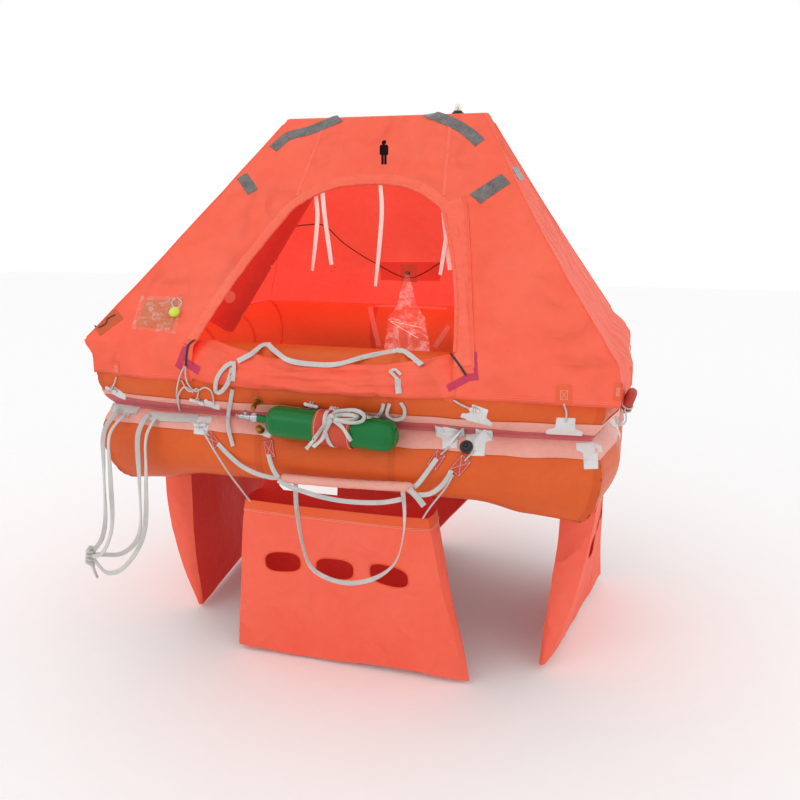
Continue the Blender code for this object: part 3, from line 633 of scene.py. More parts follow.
@dataclass(frozen=True)
class Clear(Finish):
    """Clear film or moulded plastic, seen by its streaks: painted highlights where the film turns opaque
    along its creases.
    """

    roughness: float
    alpha: float
    streak: float
    crinkle: float
    sharp: float = 6.0
    folds_per_metre: float = 26.0
    # strength of a painted glow on the film
    glow: float = 0.0

    def dress(self, nodes: Nodes, shader: bpy.types.Node) -> None:
        """Fill the material's nodes.

        Args:
            nodes: The material's nodes.
            shader: Its shader.
        """
        # the film's colour mottled towards the near-white of its painted highlights, with its painted glow
        self.paint(nodes, shader, 30.0, self.glow)
        folds = nodes.group(CREASES, Scale=self.folds_per_metre, Sharp=2.0)
        # painted highlights: the film turns opaque along its creases
        shine = nodes.math("POWER", folds["Mask"], self.sharp)
        nodes.link(nodes.spread(shine, To_Min=self.alpha, To_Max=self.streak),
                   shader.inputs["Alpha"])
        self.preset(shader, Roughness=self.roughness, IOR=1.45, Coat_Weight=0.6)
        nodes.bumps(shader, [(folds["Height"], self.crinkle)])


# a faint painted glow stands in for light coming through the canopy cloth
CANOPY = Cloth("canopy_cloth", srgb(240, 92, 68), srgb(243, 108, 84), crease_scale=4.5,
               crease=0.0240, sharp=2.0, detail=1.4, glow=0.04)
# inner face of the canopy: a painted glow stands in for light coming through the cloth
CANOPY_INSIDE_GLOW = Cloth("canopy_inside", srgb(232, 82, 66), srgb(240, 98, 80), crease=0.0030,
                      glow=0.55)
TUBE_CLOTH = Cloth("tube_cloth", srgb(208, 84, 32), srgb(220, 98, 44), roughness=0.42,
                   crease_scale=6.0, crease=0.0012, coat=0.10, weave=0.00004)
TUBE_DARK = Cloth("tube_tape", srgb(200, 78, 30), srgb(210, 90, 40), roughness=0.46,
                  crease_scale=20.0, crease=0.0006, coat=0.08)
# lit copies of the tube cloth and its tape for the faces inside the cabin: redder, with a painted glow that
# stands in for light through the canopy
TUBE_CABIN_GLOW = Cloth("tube_inside", srgb(220, 76, 44), srgb(230, 90, 54), roughness=0.45,
                    crease_scale=6.0, crease=0.0012, glow=0.38)
TAPE_CABIN_GLOW = Cloth("tape_inside", srgb(210, 62, 38), srgb(218, 74, 46), roughness=0.45,
                    crease_scale=20.0, crease=0.0006, glow=0.34)
# the arch seen inside the cabin carries a painted glow that stands in for light through the canopy
ARCH_CLOTH_GLOW = Cloth("arch_cloth", srgb(198, 50, 42), srgb(212, 62, 50), roughness=0.45,
                   crease_scale=8.0, crease=0.0014, glow=0.42)
# a faint painted glow stands in for light coming through the pocket cloth
POCKET_CLOTH = Cloth("pocket_cloth", srgb(240, 96, 74), srgb(244, 110, 88), crease=0.0085,
                     crease_scale=6.5, sharp=1.8, detail=1.6, glow=0.04)
# painted shade: darker red for the pockets' lining and rear walls, which hang in shade under the raft,
# together with a painted glow
POCKET_SHADE_GLOW = Cloth("pocket_inside", srgb(196, 44, 38), srgb(206, 54, 46), crease=0.0034,
                      crease_scale=7.0, glow=0.24)
POCKET_TRIM = Cloth("pocket_trim", srgb(232, 92, 52), srgb(240, 106, 66), crease=0.0008,
                    crease_scale=30)
BAND_CLOTH = Cloth("band_cloth", srgb(226, 152, 138), srgb(236, 172, 158), roughness=0.35,
                   crease_scale=22.0, crease=0.0012, coat=0.18, mottle=6.0)
# painted shade: mauve for the joint between the tubes and the shaded underside of the upper strip
JOINT_SHADE = Cloth("joint_cloth", srgb(190, 84, 88), srgb(200, 104, 106), roughness=0.4,
                    crease_scale=16.0, crease=0.0012, coat=0.15, mottle=6.0)
FLOOR_CLOTH = Cloth("floor_cloth", srgb(44, 43, 46), srgb(58, 57, 60), roughness=0.5,
                    crease_scale=5.0, crease=0.003)
WEBBING = Cloth("webbing", srgb(222, 220, 216), srgb(240, 237, 233), roughness=0.75, pitch=0.0030,
                weave=0.0009, crease_scale=40.0, crease=0.0004, mottle=16.0, gloss=0.1)
THREAD = Cloth("thread", srgb(246, 196, 178), srgb(250, 212, 196), roughness=0.7, crease=0.0001)
SEAM_THREAD = Cloth("seam_thread", srgb(247, 138, 116), srgb(251, 152, 132), roughness=0.7,
                    crease=0.0001)
STITCH = Cloth("stitching", srgb(236, 226, 220), srgb(244, 236, 230), roughness=0.7, crease=0.0001)
# a faint painted glow stands in for light coming through the seam tape
SEAM_CLOTH = Cloth("seam_tape", srgb(241, 99, 76), srgb(245, 116, 93), crease_scale=24,
                   crease=0.0020, glow=0.05)
WHITE_PATCH = Cloth("white_patch", srgb(210, 208, 209), srgb(226, 223, 223), roughness=0.45,
                    crease_scale=40, crease=0.0005, mottle=14, coat=0.1)
TAB_CLOTH = Cloth("brick_tab", srgb(196, 74, 58), srgb(208, 90, 70), roughness=0.7, pitch=0.003,
                  weave=0.0003, crease=0.0004, mottle=18)
ORANGE_TAB = Cloth("orange_tab", srgb(234, 96, 62), srgb(241, 110, 78), roughness=0.7, pitch=0.003,
                   weave=0.0003, crease=0.0004, mottle=18)
MAGENTA = Cloth("magenta_tape", srgb(196, 52, 86), srgb(210, 74, 100), roughness=0.6, pitch=0.002,
                weave=0.0002, crease=0.0006, mottle=16)
RETRO = Cloth("reflective_tape", srgb(72, 66, 64), srgb(128, 120, 116), roughness=0.30,
              pitch=0.0080, weave=0.0016, crease_scale=30, crease=0.0022, sharp=4.0, mottle=30,
              gloss=0.6, coat=0.8)
LABEL = Cloth("blank_label", srgb(206, 98, 52), srgb(214, 112, 66), roughness=0.5, mottle=12)
HIP_CLOTH = Cloth("hip_patch", srgb(206, 98, 62), srgb(196, 86, 54), roughness=0.6, mottle=14)
# cloths seen inside the cabin: each carries a painted glow that stands in for light coming through the
# canopy
CABIN_PATCH_GLOW = Cloth("wall_patch", srgb(224, 64, 50), srgb(230, 76, 60), glow=0.42)
LAMP_POCKET_GLOW = Cloth("lamp_pocket", srgb(200, 76, 56), srgb(208, 88, 66), glow=0.35)
ARCH_SPOT_GLOW = Cloth("arch_spot", srgb(226, 112, 98), srgb(232, 124, 108), glow=0.30)
CABIN_STRAP_GLOW = Cloth("cabin_strap", srgb(232, 112, 98), srgb(240, 128, 112), glow=0.32)
LIT_TAPE = Cloth("door_tie", srgb(240, 206, 198), srgb(248, 222, 214), roughness=0.7, glow=0.12)
WIRE = Hard("lamp_lead", srgb(120, 22, 20), srgb(136, 30, 26), roughness=0.5, skin=0.0)
GREEN = Hard("green_enamel", srgb(0, 104, 44), srgb(0, 114, 52), roughness=0.2, gloss=0.3,
             skin=0.00004)
STEEL = Hard("plated_steel", srgb(196, 196, 200), srgb(168, 168, 172), roughness=0.22, metallic=1.0)
BRASS = Hard("brass", srgb(176, 128, 58), srgb(140, 96, 42), roughness=0.34, metallic=1.0)
BLACK = Hard("black_plastic", srgb(26, 25, 26), srgb(40, 38, 38), roughness=0.4)
RED_CAP = Hard("red_cap", srgb(190, 34, 28), srgb(204, 48, 38), roughness=0.35)
RUBBER = Hard("quoit_rubber", srgb(172, 44, 40), srgb(188, 62, 52), roughness=0.45, skin=0.0003)
BULB = Hard("lamp_yellow", srgb(192, 212, 34), srgb(206, 222, 64), roughness=0.25, coat=0.6)
INK = Hard("black_ink", srgb(14, 8, 8), srgb(22, 13, 12), roughness=0.85, gloss=0.1, skin=0.0)
STUDIO = Hard("studio_floor", srgb(250, 250, 250), srgb(252, 252, 252), roughness=0.8, skin=0.0)
# near-white of the painted highlights on clear film and on the lens
GLEAM = srgb(250, 246, 244)
FILM = Clear("clear_film", srgb(250, 196, 184), GLEAM, 0.10, 0.06, 0.42, 0.004, 9.0)
# the rain bag's film and its lip lines carry a painted glow; the film's streaks are painted highlights
BAG_FILM_GLINTS = Clear("bag_film", srgb(255, 170, 152), GLEAM, 0.12, 0.06, 0.52, 0.003, 8.0,
                 folds_per_metre=15.0, glow=0.5)
BAG_LIP_GLOW = Clear("bag_lip", srgb(255, 180, 160), GLEAM, 0.20, 0.85, 0.95, 0.001, glow=0.5)
LENS = Clear("clear_lens", srgb(225, 225, 225), GLEAM, 0.05, 0.30, 0.45, 0.0001)


# Meshes


class Shape:
    """Faces gathered for one mesh."""

    def __init__(self) -> None:
        """Start empty."""
        self.verts: list[Vector] = []
        self.faces: list[tuple[int, ...]] = []
        self.slots: list[int] = []

    def add(self, verts: Iterable[Vector], faces: Iterable[Sequence[int]], slot: int = 0) -> None:
        """Add points and the faces on them.

        Args:
            verts: The points.
            faces: Faces, as numbers of these points.
            slot: Material slot of the faces.
        """
        base = len(self.verts)
        self.verts += [Vector(v) for v in verts]
        for face in faces:
            self.faces.append(tuple(base + i for i in face))
            self.slots.append(slot)

    def rings(self, rings: Sequence[Sequence[Vector]], loop: bool = False, caps: bool = True,
              slot: int = 0) -> None:
        """Skin a row of closed rings.

        Args:
            rings: Equal rings of points, in order.
            loop: Whether the last ring joins the first one.
            caps: Whether the ends are filled.
            slot: Material slot of the faces.
        """
        count = len(rings[0])
        verts = [p for ring in rings for p in ring]
        faces = []
        for i in range(len(rings) if loop else len(rings) - 1):
            a = i * count
            b = ((i + 1) % len(rings)) * count
            for j in range(count):
                k = (j + 1) % count
                faces.append((a + j, a + k, b + k, b + j))
        if caps and not loop:
            faces.append(tuple(range(count - 1, -1, -1)))
            faces.append(tuple(range((len(rings) - 1) * count, len(rings) * count)))
        self.add(verts, faces, slot)

    def tube(self, route: Sequence[Vector], radius: float, sides: int = 10, slot: int = 0) -> None:
        """A round tube along a route.

        Args:
            route: Points down the tube's middle.
            radius: Its radius.
            sides: Faces round it.
            slot: Material slot of the faces.
        """
        rings = []
        across = None
        for i, p in enumerate(route):
            ahead = heading(route, i)
            if across is None:
                across = ahead.orthogonal()
            across = (across - ahead * across.dot(ahead)).normalized()
            third = ahead.cross(across)
            rings.append([p + (across * math.cos(a) + third * math.sin(a)) * radius
                          for a in turns(sides)])
        self.rings(rings, slot=slot)

    def ribbon(self, route: Sequence[Vector], face: Callable[[float], Vector], width: float,
               thickness: float = 0.0014, slot: int = 0) -> None:
        """A flat strap along a route.

        Args:
            route: Points down the strap's middle.
            face: Way that the flat side looks at a share of the length.
            width: Width of the strap.
            thickness: Thickness of the strap.
            slot: Material slot of the faces.
        """
        rings = []
        half = width / 2
        deep = thickness / 2
        under = [(-half, -deep * 0.4), (-half * 0.9, -deep), (0, -deep), (half * 0.9, -deep),
                 (half, -deep * 0.4)]
        section = [*under, *((s, -t) for s, t in reversed(under))]
        for i, p in enumerate(route):
            ahead = heading(route, i)
            up = face(i / (len(route) - 1))
            up = (up - ahead * up.dot(ahead)).normalized()
            side = ahead.cross(up)
            rings.append([p + side * s + up * t for s, t in section])
        self.rings(rings, slot=slot)

    def lathe(self, origin: Vector, axis: Vector, profile: Sequence[Flat],
              sides: int = 48, slot: int = 0) -> None:
        """A turned form.

        Args:
            origin: Where the profile's runs are counted from.
            axis: Direction of the form's axis.
            profile: Runs along the axis, each with its radius.
            sides: Faces round the form.
            slot: Material slot of the faces.
        """
        axis = axis.normalized()
        across = axis.orthogonal().normalized()
        third = axis.cross(across)
        rings = []
        for run, radius in profile:
            centre = origin + axis * run
            rings.append([centre + (across * math.cos(a) + third * math.sin(a)) * radius
                          for a in turns(sides)])
        self.rings(rings, slot=slot)

    def build(self, name: str, *finishes: Finish, crease: float = 40.0,
              weld: float = 1e-5) -> bpy.types.Object:
        """Make the object.

        Args:
            name: The piece's name.
            *finishes: A finish for each material slot.
            crease: Angle in degrees over which an edge shows sharp.
            weld: Distance under which points are merged.

        Returns:
            The new object, riding on the raft.
        """
        mesh = bpy.data.meshes.new(name)
        mesh.from_pydata([tuple(v) for v in self.verts], [], self.faces)
        mesh.polygons.foreach_set("material_index", self.slots)
        work = bmesh.new()
        work.from_mesh(mesh)
        bmesh.ops.remove_doubles(work, verts=work.verts, dist=weld)
        bmesh.ops.recalc_face_normals(work, faces=work.faces)
        work.to_mesh(mesh)
        work.free()
        mesh.shade_smooth()
        mesh.set_sharp_from_angle(angle=math.radians(crease))
        for finish in finishes:
            mesh.materials.append(finish.material())
        item = bpy.data.objects.new(name, mesh)
        bpy.context.scene.collection.objects.link(item)
        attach(item, BODY)
        return item

    def piece(self, name: str, slot: str, *finishes: Finish, crease: float = 50.0,
              ) -> bpy.types.Object:
        """Make the object."""
        return self.build(name, *finishes, crease=crease)


class Carrier:
    """The skin of one or more pieces, to lay other pieces on."""

    def __init__(self, *items: bpy.types.Object, rear: float = math.inf) -> None:
        """Read the pieces' meshes as they show.

        Args:
            *items: The pieces.
            rear: Faces behind this Y are left out.
        """
        verts: list[Vector] = []
        faces: list[tuple[int, ...]] = []
        graph = bpy.context.evaluated_depsgraph_get()
        for item in items:
            mesh = item.evaluated_get(graph).to_mesh()
            base = len(verts)
            verts += [v.co.copy() for v in mesh.vertices]
            faces += [tuple(base + i for i in p.vertices) for p in mesh.polygons
                      if p.center.y < rear]
        self.tree = BVHTree.FromPolygons(verts, faces)

    def along(self, start: Vector, way: Vector) -> tuple[Vector, Vector]:
        """The first point that a line meets; where it misses, the skin's nearest point to it.

        Args:
            start: Where the line starts.
            way: Its direction.

        Returns:
            The point, and the skin's direction there towards the line's start.
        """
        place, normal, _, _ = self.tree.ray_cast(start, way)
        if place is None:
            steps = (start + way * VIEW.distance * (0.6 + 0.01 * k) for k in range(70))
            found = min((self.tree.find_nearest(step) for step in steps), key=lambda hit: hit[3])
            place, normal = found[:2]
        if normal.dot(way) > 0:
            normal = -normal
        return place, normal

    def at(self, pixel: Pixel) -> tuple[Vector, Vector]:
        """The point that a pixel of the photograph shows, and the skin's direction there."""
        return self.along(*VIEW.ray(pixel))

    def near(self, place: Vector) -> tuple[Vector, Vector]:
        """The skin's nearest point to a place.

        Args:
            place: The place.

        Returns:
            The point, and the way from it to the place.
        """
        spot, normal, _, _ = self.tree.find_nearest(place)
        if normal.dot(place - spot) < 0:
            normal = -normal
        return spot, normal


# Tubes


def corner_out(out: float) -> float:
    """Reach of a corner for a given reach of the sides."""
    return out * CORNER_REACH if out > 0 else out


def lower_sag(share: float, out: float, z: float) -> Flat:
    """Shape of the lower tube towards its corners, where its underside hangs down.

    Args:
        share: Run along the side as a share of its half-length.
        out: Reach outwards past the tube's axis.
        z: Height.

    Returns:
        The reach and the height there.
    """
    bend = ease((abs(share) - 0.60) / 0.30)
    depth = max(0.0, (-TUBE_RISE - z) / TUBE_R)
    return out * (1 - 0.10 * bend * depth), z - CORNER_DROOP * bend * depth


def tube_place(side: Side, share: float, out: float, z: float, sag: bool = False) -> Vector:
    """A place on or near a tube.

    Args:
        side: The side of the raft.
        share: Run along the side as a share of its half-length, from -1 to 1.
        out: Reach outwards past the tube's axis.
        z: Height.
        sag: Whether the lower tube's hanging corners are followed.

    Returns:
        The place.
    """
    if STRAIGHT < abs(share) < 1.0:
        sign = math.copysign(1, share)
        straight = tube_place(side, sign * STRAIGHT, out, z, sag)
        corner = tube_place(side, sign, out, z, sag)
        return straight.lerp(corner, (abs(share) - STRAIGHT) / (1.0 - STRAIGHT))
    if sag:
        out, z = lower_sag(share, out, z)
    if abs(share) < 1.0:
        return side.place(share * side.half, out, z)
    reach = corner_out(out)
    return side.place(math.copysign(side.half + reach, share), reach, z)


def skin(side: Side, level: Level, along: float, degrees: float, lift: float = 0.0) -> Vector:
    """A place over a tube's skin, by its run in metres and its angle from outwards to up.

    Args:
        side: The side of the raft.
        level: The tube.
        along: Run along the side in metres.
        degrees: Angle round the tube, from outwards to up.
        lift: Distance off the skin.

    Returns:
        The place.
    """
    angle = math.radians(degrees)
    radius = TUBE_R + lift
    return tube_place(side, along / side.half, radius * math.cos(angle),
                      level.value + radius * math.sin(angle), level is Level.LOWER)


@dataclass
class BuoyancyTubes:
    """The two inflated rings, each of four mitred lengths with taped seams."""

    sides: int = 72
    stations: int = 56
    pucker: float = 0.0016
    pucker_reach: float = 0.10
    puckers: int = 17
    joint_flat: float = 0.004
    tape_width: float = 0.034
    tape_lift: float = 0.0008
    lap_places: tuple[float, ...] = (-0.30, 0.28)
    lap_half: float = 0.012
    # share of the lap's half width, lift
    lap_profile: tuple[Flat, ...] = ((-1.05, -0.001), (-1, 0.0007), (1, 0.0007), (1.05, -0.001))
    cabin_start: float = -0.36

    def ring(self, side: Side, level: Level, share: float, lift: float = 0.0) -> list[Vector]:
        """One cross-section of a tube, puckered near its mitres.

        Args:
            side: The side of the raft.
            level: The tube.
            share: Run along the side as a share of its half-length.
            lift: Distance off the skin.

        Returns:
            The ring's points.
        """
        ring = []
        from_end = (1 - abs(share)) * side.half
        pull = math.exp(-((from_end / self.pucker_reach) ** 2))
        for angle in turns(self.sides):
            wave = math.sin(self.puckers * angle + 1.7 * math.sin(3 * angle + side.offset * 9))
            radius = TUBE_R + lift + self.pucker * pull * wave - 0.4 * self.pucker * pull
            out = radius * math.cos(angle)
            z = level.value + radius * math.sin(angle)
            joint = self.joint_flat * math.exp(-((z / 0.02) ** 2))
            z = max(z, joint * 0.25) if level is Level.UPPER else min(z, -joint * 0.25)
            ring.append(tube_place(side, share, out, z, level is Level.LOWER))
        return ring

    def shares(self) -> list[float]:
        """Stations along a side, closer together near the mitres.

        Returns:
            Shares of the half-length, from -1 to 1.
        """
        steps = [math.sin(math.pi / 2 * (2 * i / self.stations - 1))
                 for i in range(self.stations + 1)]
        return [0.35 * s + 0.65 * (2 * i / self.stations - 1) for i, s in enumerate(steps)]

    def build_level(self, level: Level) -> bpy.types.Object:
        """One of the two tubes.

        Args:
            level: The tube.

        Returns:
            The piece.
        """
        shape = Shape()
        for side in Side:
            shape.rings([self.ring(side, level, s) for s in self.shares()], caps=False)
        name = level.name.lower()
        item = self.light_cabin(shape.build(f"{name}_tube", TUBE_CLOTH, TUBE_CABIN_GLOW, crease=30))
        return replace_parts(item, *(f"{name}_tube_{s.tag}" for s in Side))

    def build_tapes(self, level: Level) -> bpy.types.Object:
        """Tapes over the mitres and the lap seams.

        Args:
            level: The tube.

        Returns:
            The piece.
        """
        shape = Shape()
        for side in Side:
            for end in (-1, 1):
                inner = end * (1 - self.tape_width / side.half / 2)
                rings = [self.ring(side, level, s, self.tape_lift)
                         for s in (inner, (inner + end) / 2, end * 0.9999)]
                shape.rings([self.ring(side, level, inner, -0.001), *rings], caps=False)
            for lap in self.lap_places:
                half = self.lap_half / side.half
                shape.rings([self.ring(side, level, lap + s * half, lift)
                             for s, lift in self.lap_profile], caps=False)
        item = shape.build(f"{level.name.lower()}_tube_tapes", TUBE_DARK, TAPE_CABIN_GLOW, crease=50)
        return self.light_cabin(item)

    def light_cabin(self, item: bpy.types.Object) -> bpy.types.Object:
        """Give the faces inside the cabin a lit copy of the cloth, redder and with a painted glow that
        stands in for light through the canopy.

        Args:
            item: A tube, or its tapes.

        Returns:
            The same piece.
        """
        for p in item.data.polygons:
            inward = abs(p.center.x) < AXIS_X and self.cabin_start < p.center.y < AXIS_Y
            p.material_index = int(inward and p.center.z > -TUBE_RISE)
        return item

    def build(self) -> list[bpy.types.Object]:
        """Both tubes and their tapes.

        Returns:
            The pieces.
        """
        made = []
        for level in Level:
            made += [self.build_level(level), self.build_tapes(level)]
        return made


# Canopy


@dataclass(frozen=True)
class Fold:
    """A soft fold on the canopy's front, from one (x, z) to another."""

    start: Flat
    end: Flat
    width: float
    height: float

    def lift(self, x: float, z: float) -> float:
        """How far the cloth stands out at a place because of this fold.

        Args:
            x: X of the place.
            z: Height of the place.

        Returns:
            The distance, less than 0 for a hollow.
        """
        ax, az = self.start
        bx, bz = self.end
        dx, dz = bx - ax, bz - az
        t = ((x - ax) * dx + (z - az) * dz) / (dx * dx + dz * dz)
        if not -0.2 < t < 1.2:
            return 0.0
        away = math.hypot(x - ax - t * dx, z - az - t * dz)
        taper = ease((t + 0.2) / 0.4) * ease((1.2 - t) / 0.4)
        return self.height * math.exp(-((away / self.width) ** 2)) * taper


FRONT_FOLDS = (
    Fold((0.40, 0.66), (0.46, 0.30), 0.016, 0.005),
    Fold((0.42, 0.55), (0.62, 0.40), 0.030, 0.006),
    Fold((0.45, 0.40), (0.70, 0.33), 0.028, 0.005),
    Fold((0.50, 0.28), (0.80, 0.31), 0.030, 0.005),
    Fold((0.33, 0.90), (0.40, 0.60), 0.020, 0.004),
    Fold((0.30, 0.93), (0.58, 0.55), 0.022, -0.004),
    Fold((-0.30, 0.92), (-0.36, 0.62), 0.022, 0.004),
    Fold((-0.38, 0.80), (-0.62, 0.45), 0.030, -0.005),
    Fold((-0.44, 0.70), (-0.70, 0.32), 0.024, 0.004),
    Fold((-0.20, 0.86), (0.02, 0.82), 0.020, 0.004),
    Fold((0.06, 0.83), (0.28, 0.80), 0.018, 0.005),
    Fold((-0.62, 0.22), (-0.48, 0.18), 0.018, 0.004),
    Fold((0.52, 0.20), (0.78, 0.19), 0.022, 0.005),
    Fold((0.70, 0.16), (0.84, 0.27), 0.016, -0.005),
)


@dataclass(frozen=True)
class Corner:
    """A corner of the canopy: where its hip comes down, and how far its skirt reaches."""

    knuckle: float
    reach: float
    hollow: float = 0.0
    belly: float = 0.0


@dataclass
class Canopy:
    """The canopy: one sheet over the arch, with the door cut out of its front."""

    ridge_half: float = 0.366
    shoulder_half: float = 0.374
    shoulder_depth: float = 0.062
    shoulder_drop: float = 0.012
    knuckle_depth: float = 0.690
    corners: dict[tuple[int, int], Corner] = field(default_factory=lambda: {
        (-1, -1): Corner(0.862, 0.60), (1, -1): Corner(0.885, 0.88, 0.020, 0.018),
        (1, 1): Corner(0.820, 0.75, 0.006), (-1, 1): Corner(0.820, 0.75, 0.006)})
    skirt_z: float = 0.175
    skirt_out: float = 0.1245
    hem_out: float = 0.1233
    corner_room: float = 0.004
    arch_room: float = 0.0033
    hang: float = 0.010
    cloth: float = 0.0012
    door_bottom: Flat = (-0.450, 0.410)
    door_top: Flat = (-0.250, 0.285)
    door_corner_z: float = 0.660
    door_rise: float = 0.085
    door_seam_top: Flat = (-0.220, 0.250)
    crown_rows: int = 6
    upper_rows: int = 22
    lower_rows: int = 26
    skirt_rows: int = 9
    wing_columns: int = 26
    door_columns: int = 34
    end_columns: int = 36
    back_columns: int = 80
    flutter: float = 0.0035
    flutter_scale: float = 5.5
    ridge_z: float = field(init=False)

    def __post_init__(self) -> None:
        """Work out the height of the ridge."""
        self.ridge_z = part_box("canopy_back")[1].z

    @property
    def shoulder_z(self) -> float:
        """Height at which the crown's round ends."""
        return self.ridge_z - self.shoulder_drop

    def share_at(self, z: float) -> float:
        """Share of the way from the crown's round down to the knuckle."""
        return (self.shoulder_z - z) / (self.shoulder_z - KNUCKLE_Z)

    def leg_x(self, z: float) -> float:
        """Outer face of the arch's leg under the end panels.

        Args:
            z: Height.

        Returns:
            X of the face, on the raft's right.
        """
        lift = (ARCH_R + self.arch_room) / math.sin(ARCH_SLOPE)
        leg = ARCH_SHOULDER_X + (ARCH_TOP_Z - z) / math.tan(ARCH_SLOPE) + lift
        return max(self.shoulder_half, leg)

    def rows(self) -> list[Flat]:
        """Rows from the ridge down, as the height and a share: 0 ridge, 1 knuckle, 2 hem.

        Returns:
            The rows, each as its height and its share.
        """
        made = []
        for i in range(self.crown_rows):
            turn = i / self.crown_rows * math.pi / 2
            made.append((self.ridge_z - self.shoulder_drop * (1 - math.cos(turn)),
                         math.sin(turn) - 1))
        for i in range(self.upper_rows):
            z = self.shoulder_z + (self.door_corner_z - self.shoulder_z) * i / self.upper_rows
            made.append((z, self.share_at(z)))
        for i in range(self.lower_rows):
            z = self.door_corner_z + (KNUCKLE_Z - self.door_corner_z) * i / self.lower_rows
            made.append((z, self.share_at(z)))
        for i in range(self.skirt_rows + 1):
            made.append((KNUCKLE_Z + (HEM_Z - KNUCKLE_Z) * i / self.skirt_rows,
                         1 + i / self.skirt_rows))
        return made

    def depth(self, share: float) -> float:
        """Half-depth of the front and back at a row above the knuckle.

        Args:
            share: The row's share, from -1 at the ridge to 1 at the knuckle.

        Returns:
            The half-depth.
        """
        if share < 0:
            return self.shoulder_depth * (share + 1)
        sag = self.hang * math.sin(math.pi * share) ** 0.8
        return self.shoulder_depth + (self.knuckle_depth - self.shoulder_depth) * share - sag

    def hip(self, share: float, corner: Corner) -> float:
        """X of a hip at a row above the knuckle.

        Args:
            share: The row's share, from -1 at the ridge to 1 at the knuckle.
            corner: The corner that the hip comes down to.

        Returns:
            X of the hip, on the raft's right.
        """
        if share < 0:
            return self.ridge_half + (self.shoulder_half - self.ridge_half) * (share + 1)
        straight = self.shoulder_half + (corner.knuckle - self.shoulder_half) * share
        return straight - corner.hollow * math.sin(math.pi * share)

    def skirt(self, z: float) -> float:
        """Reach of the skirt past the tube's axis.

        Args:
            z: Height.

        Returns:
            The reach.
        """
        t = (KNUCKLE_Z - z) / (KNUCKLE_Z - self.skirt_z)
        if t < 1:
            start = self.knuckle_depth - AXIS_Y
            return start + (self.skirt_out - start) * math.sin(t * math.pi / 2)
        share = (self.skirt_z - z) / (self.skirt_z - HEM_Z)
        return self.skirt_out + (self.hem_out - self.skirt_out) * share

    def skirt_corner(self, z: float, corner: Corner) -> Flat:
        """X and Y of a corner of the skirt.

        Args:
            z: Height.
            corner: The corner.

        Returns:
            X and Y, on the raft's right and back.
        """
        t = ease((KNUCKLE_Z - z) / (KNUCKLE_Z - self.skirt_z))
        low = self.skirt_out * corner.reach + self.corner_room
        x = corner.knuckle + (AXIS_X + low - corner.knuckle) * t
        y = self.knuckle_depth + (AXIS_Y + low - self.knuckle_depth) * t
        return x, y

    def face_point(self, x: float, z: float, share: float, sign: int) -> Vector:
        """A point of the front (sign -1) or back (sign 1).

        Args:
            x: X of the point.
            z: Its height.
            share: The row's share.
            sign: -1 at the front, 1 at the back.

        Returns:
            The point.
        """
        if share <= 1:
            return Vector((x, sign * self.depth(share), z))
        corner_x, corner_y = self.skirt_corner(z, self.corners[1 if x > 0 else -1, sign])
        flat = AXIS_Y + self.skirt(z)
        bend = ease((abs(x) - STRAIGHT * AXIS_X) / (corner_x - STRAIGHT * AXIS_X))
        return Vector((x, sign * (flat + (corner_y - flat) * bend), z))

    def end_point(self, sign: int, s: float, z: float, share: float) -> Vector:
        """A point of an end panel; s runs from -1 at the front hip to 1 at the back one.

        Args:
            sign: -1 at the left, 1 at the right.
            s: Run across the panel.
            z: Height.
            share: The row's share.

        Returns:
            The point.
        """
        corner = self.corners[sign, 1 if s > 0 else -1]
        if share <= 1:
            leg = self.leg_x(z)
            x = leg + (self.hip(share, corner) - leg) * abs(s) ** 1.5
            return Vector((sign * x, s * self.depth(share), z))
        corner_x, corner_y = self.skirt_corner(z, corner)
        start = self.leg_x(KNUCKLE_Z)
        t = min(1.0, (KNUCKLE_Z - z) / (KNUCKLE_Z - self.skirt_z))
        flat = start + (AXIS_X + self.skirt_out - start) * math.sin(t * math.pi / 2)
        flat += corner.belly * t * math.sin(math.pi * min(1.0, abs(s) * 1.1)) ** 2
        y = s * corner_y
        bend = abs(s) ** 2.5
        if t >= 1:
            bend = ease((abs(y) - STRAIGHT * AXIS_Y) / (corner_y - STRAIGHT * AXIS_Y))
        return Vector((sign * (flat + (corner_x - flat) * bend), y, z))

    def door_side(self, z: float, side: int) -> float:
        """X of the door's side, and of the seam above it.

        Args:
            z: Height.
            side: 0 for the left side, 1 for the right one.

        Returns:
            X of the side or the seam.
        """
        corner = self.door_top[side]
        if z >= self.door_corner_z:
            share = min(1.0, (z - self.door_corner_z) / (ARCH_TOP_Z + ARCH_R - self.door_corner_z))
            return corner + (self.door_seam_top[side] - corner) * share
        share = max(0.0, (z - KNUCKLE_Z) / (self.door_corner_z - KNUCKLE_Z))
        bow = 0.020 * math.sin(math.pi * share) * (1 if side else -1)
        return self.door_bottom[side] + (corner - self.door_bottom[side]) * share + bow

    def door_edge(self, across: float) -> float:
        """Height of the door's top edge at a share of its width."""
        return self.door_corner_z + self.door_rise * (1 - abs(2 * across - 1) ** 2.6)

    def lift(self, place: Vector) -> float:
        """Soft folds of the cloth at a place.

        Args:
            place: The place.

        Returns:
            How far the cloth stands out there.
        """
        calm = ease((self.ridge_z - place.z) / 0.10)
        wave = noise.noise(Vector((place.x * self.flutter_scale, place.y * self.flutter_scale,
                                   place.z * self.flutter_scale * 0.6)))
        fine = noise.noise(place * self.flutter_scale * 3.1)
        lift = calm * self.flutter * (wave + 0.35 * fine)
        if place.y < 0:
            lift += sum(f.lift(place.x, place.z) for f in FRONT_FOLDS)
        else:
            lift += sum(f.lift(-place.x, place.z) for f in FRONT_FOLDS[3:11])
        return lift

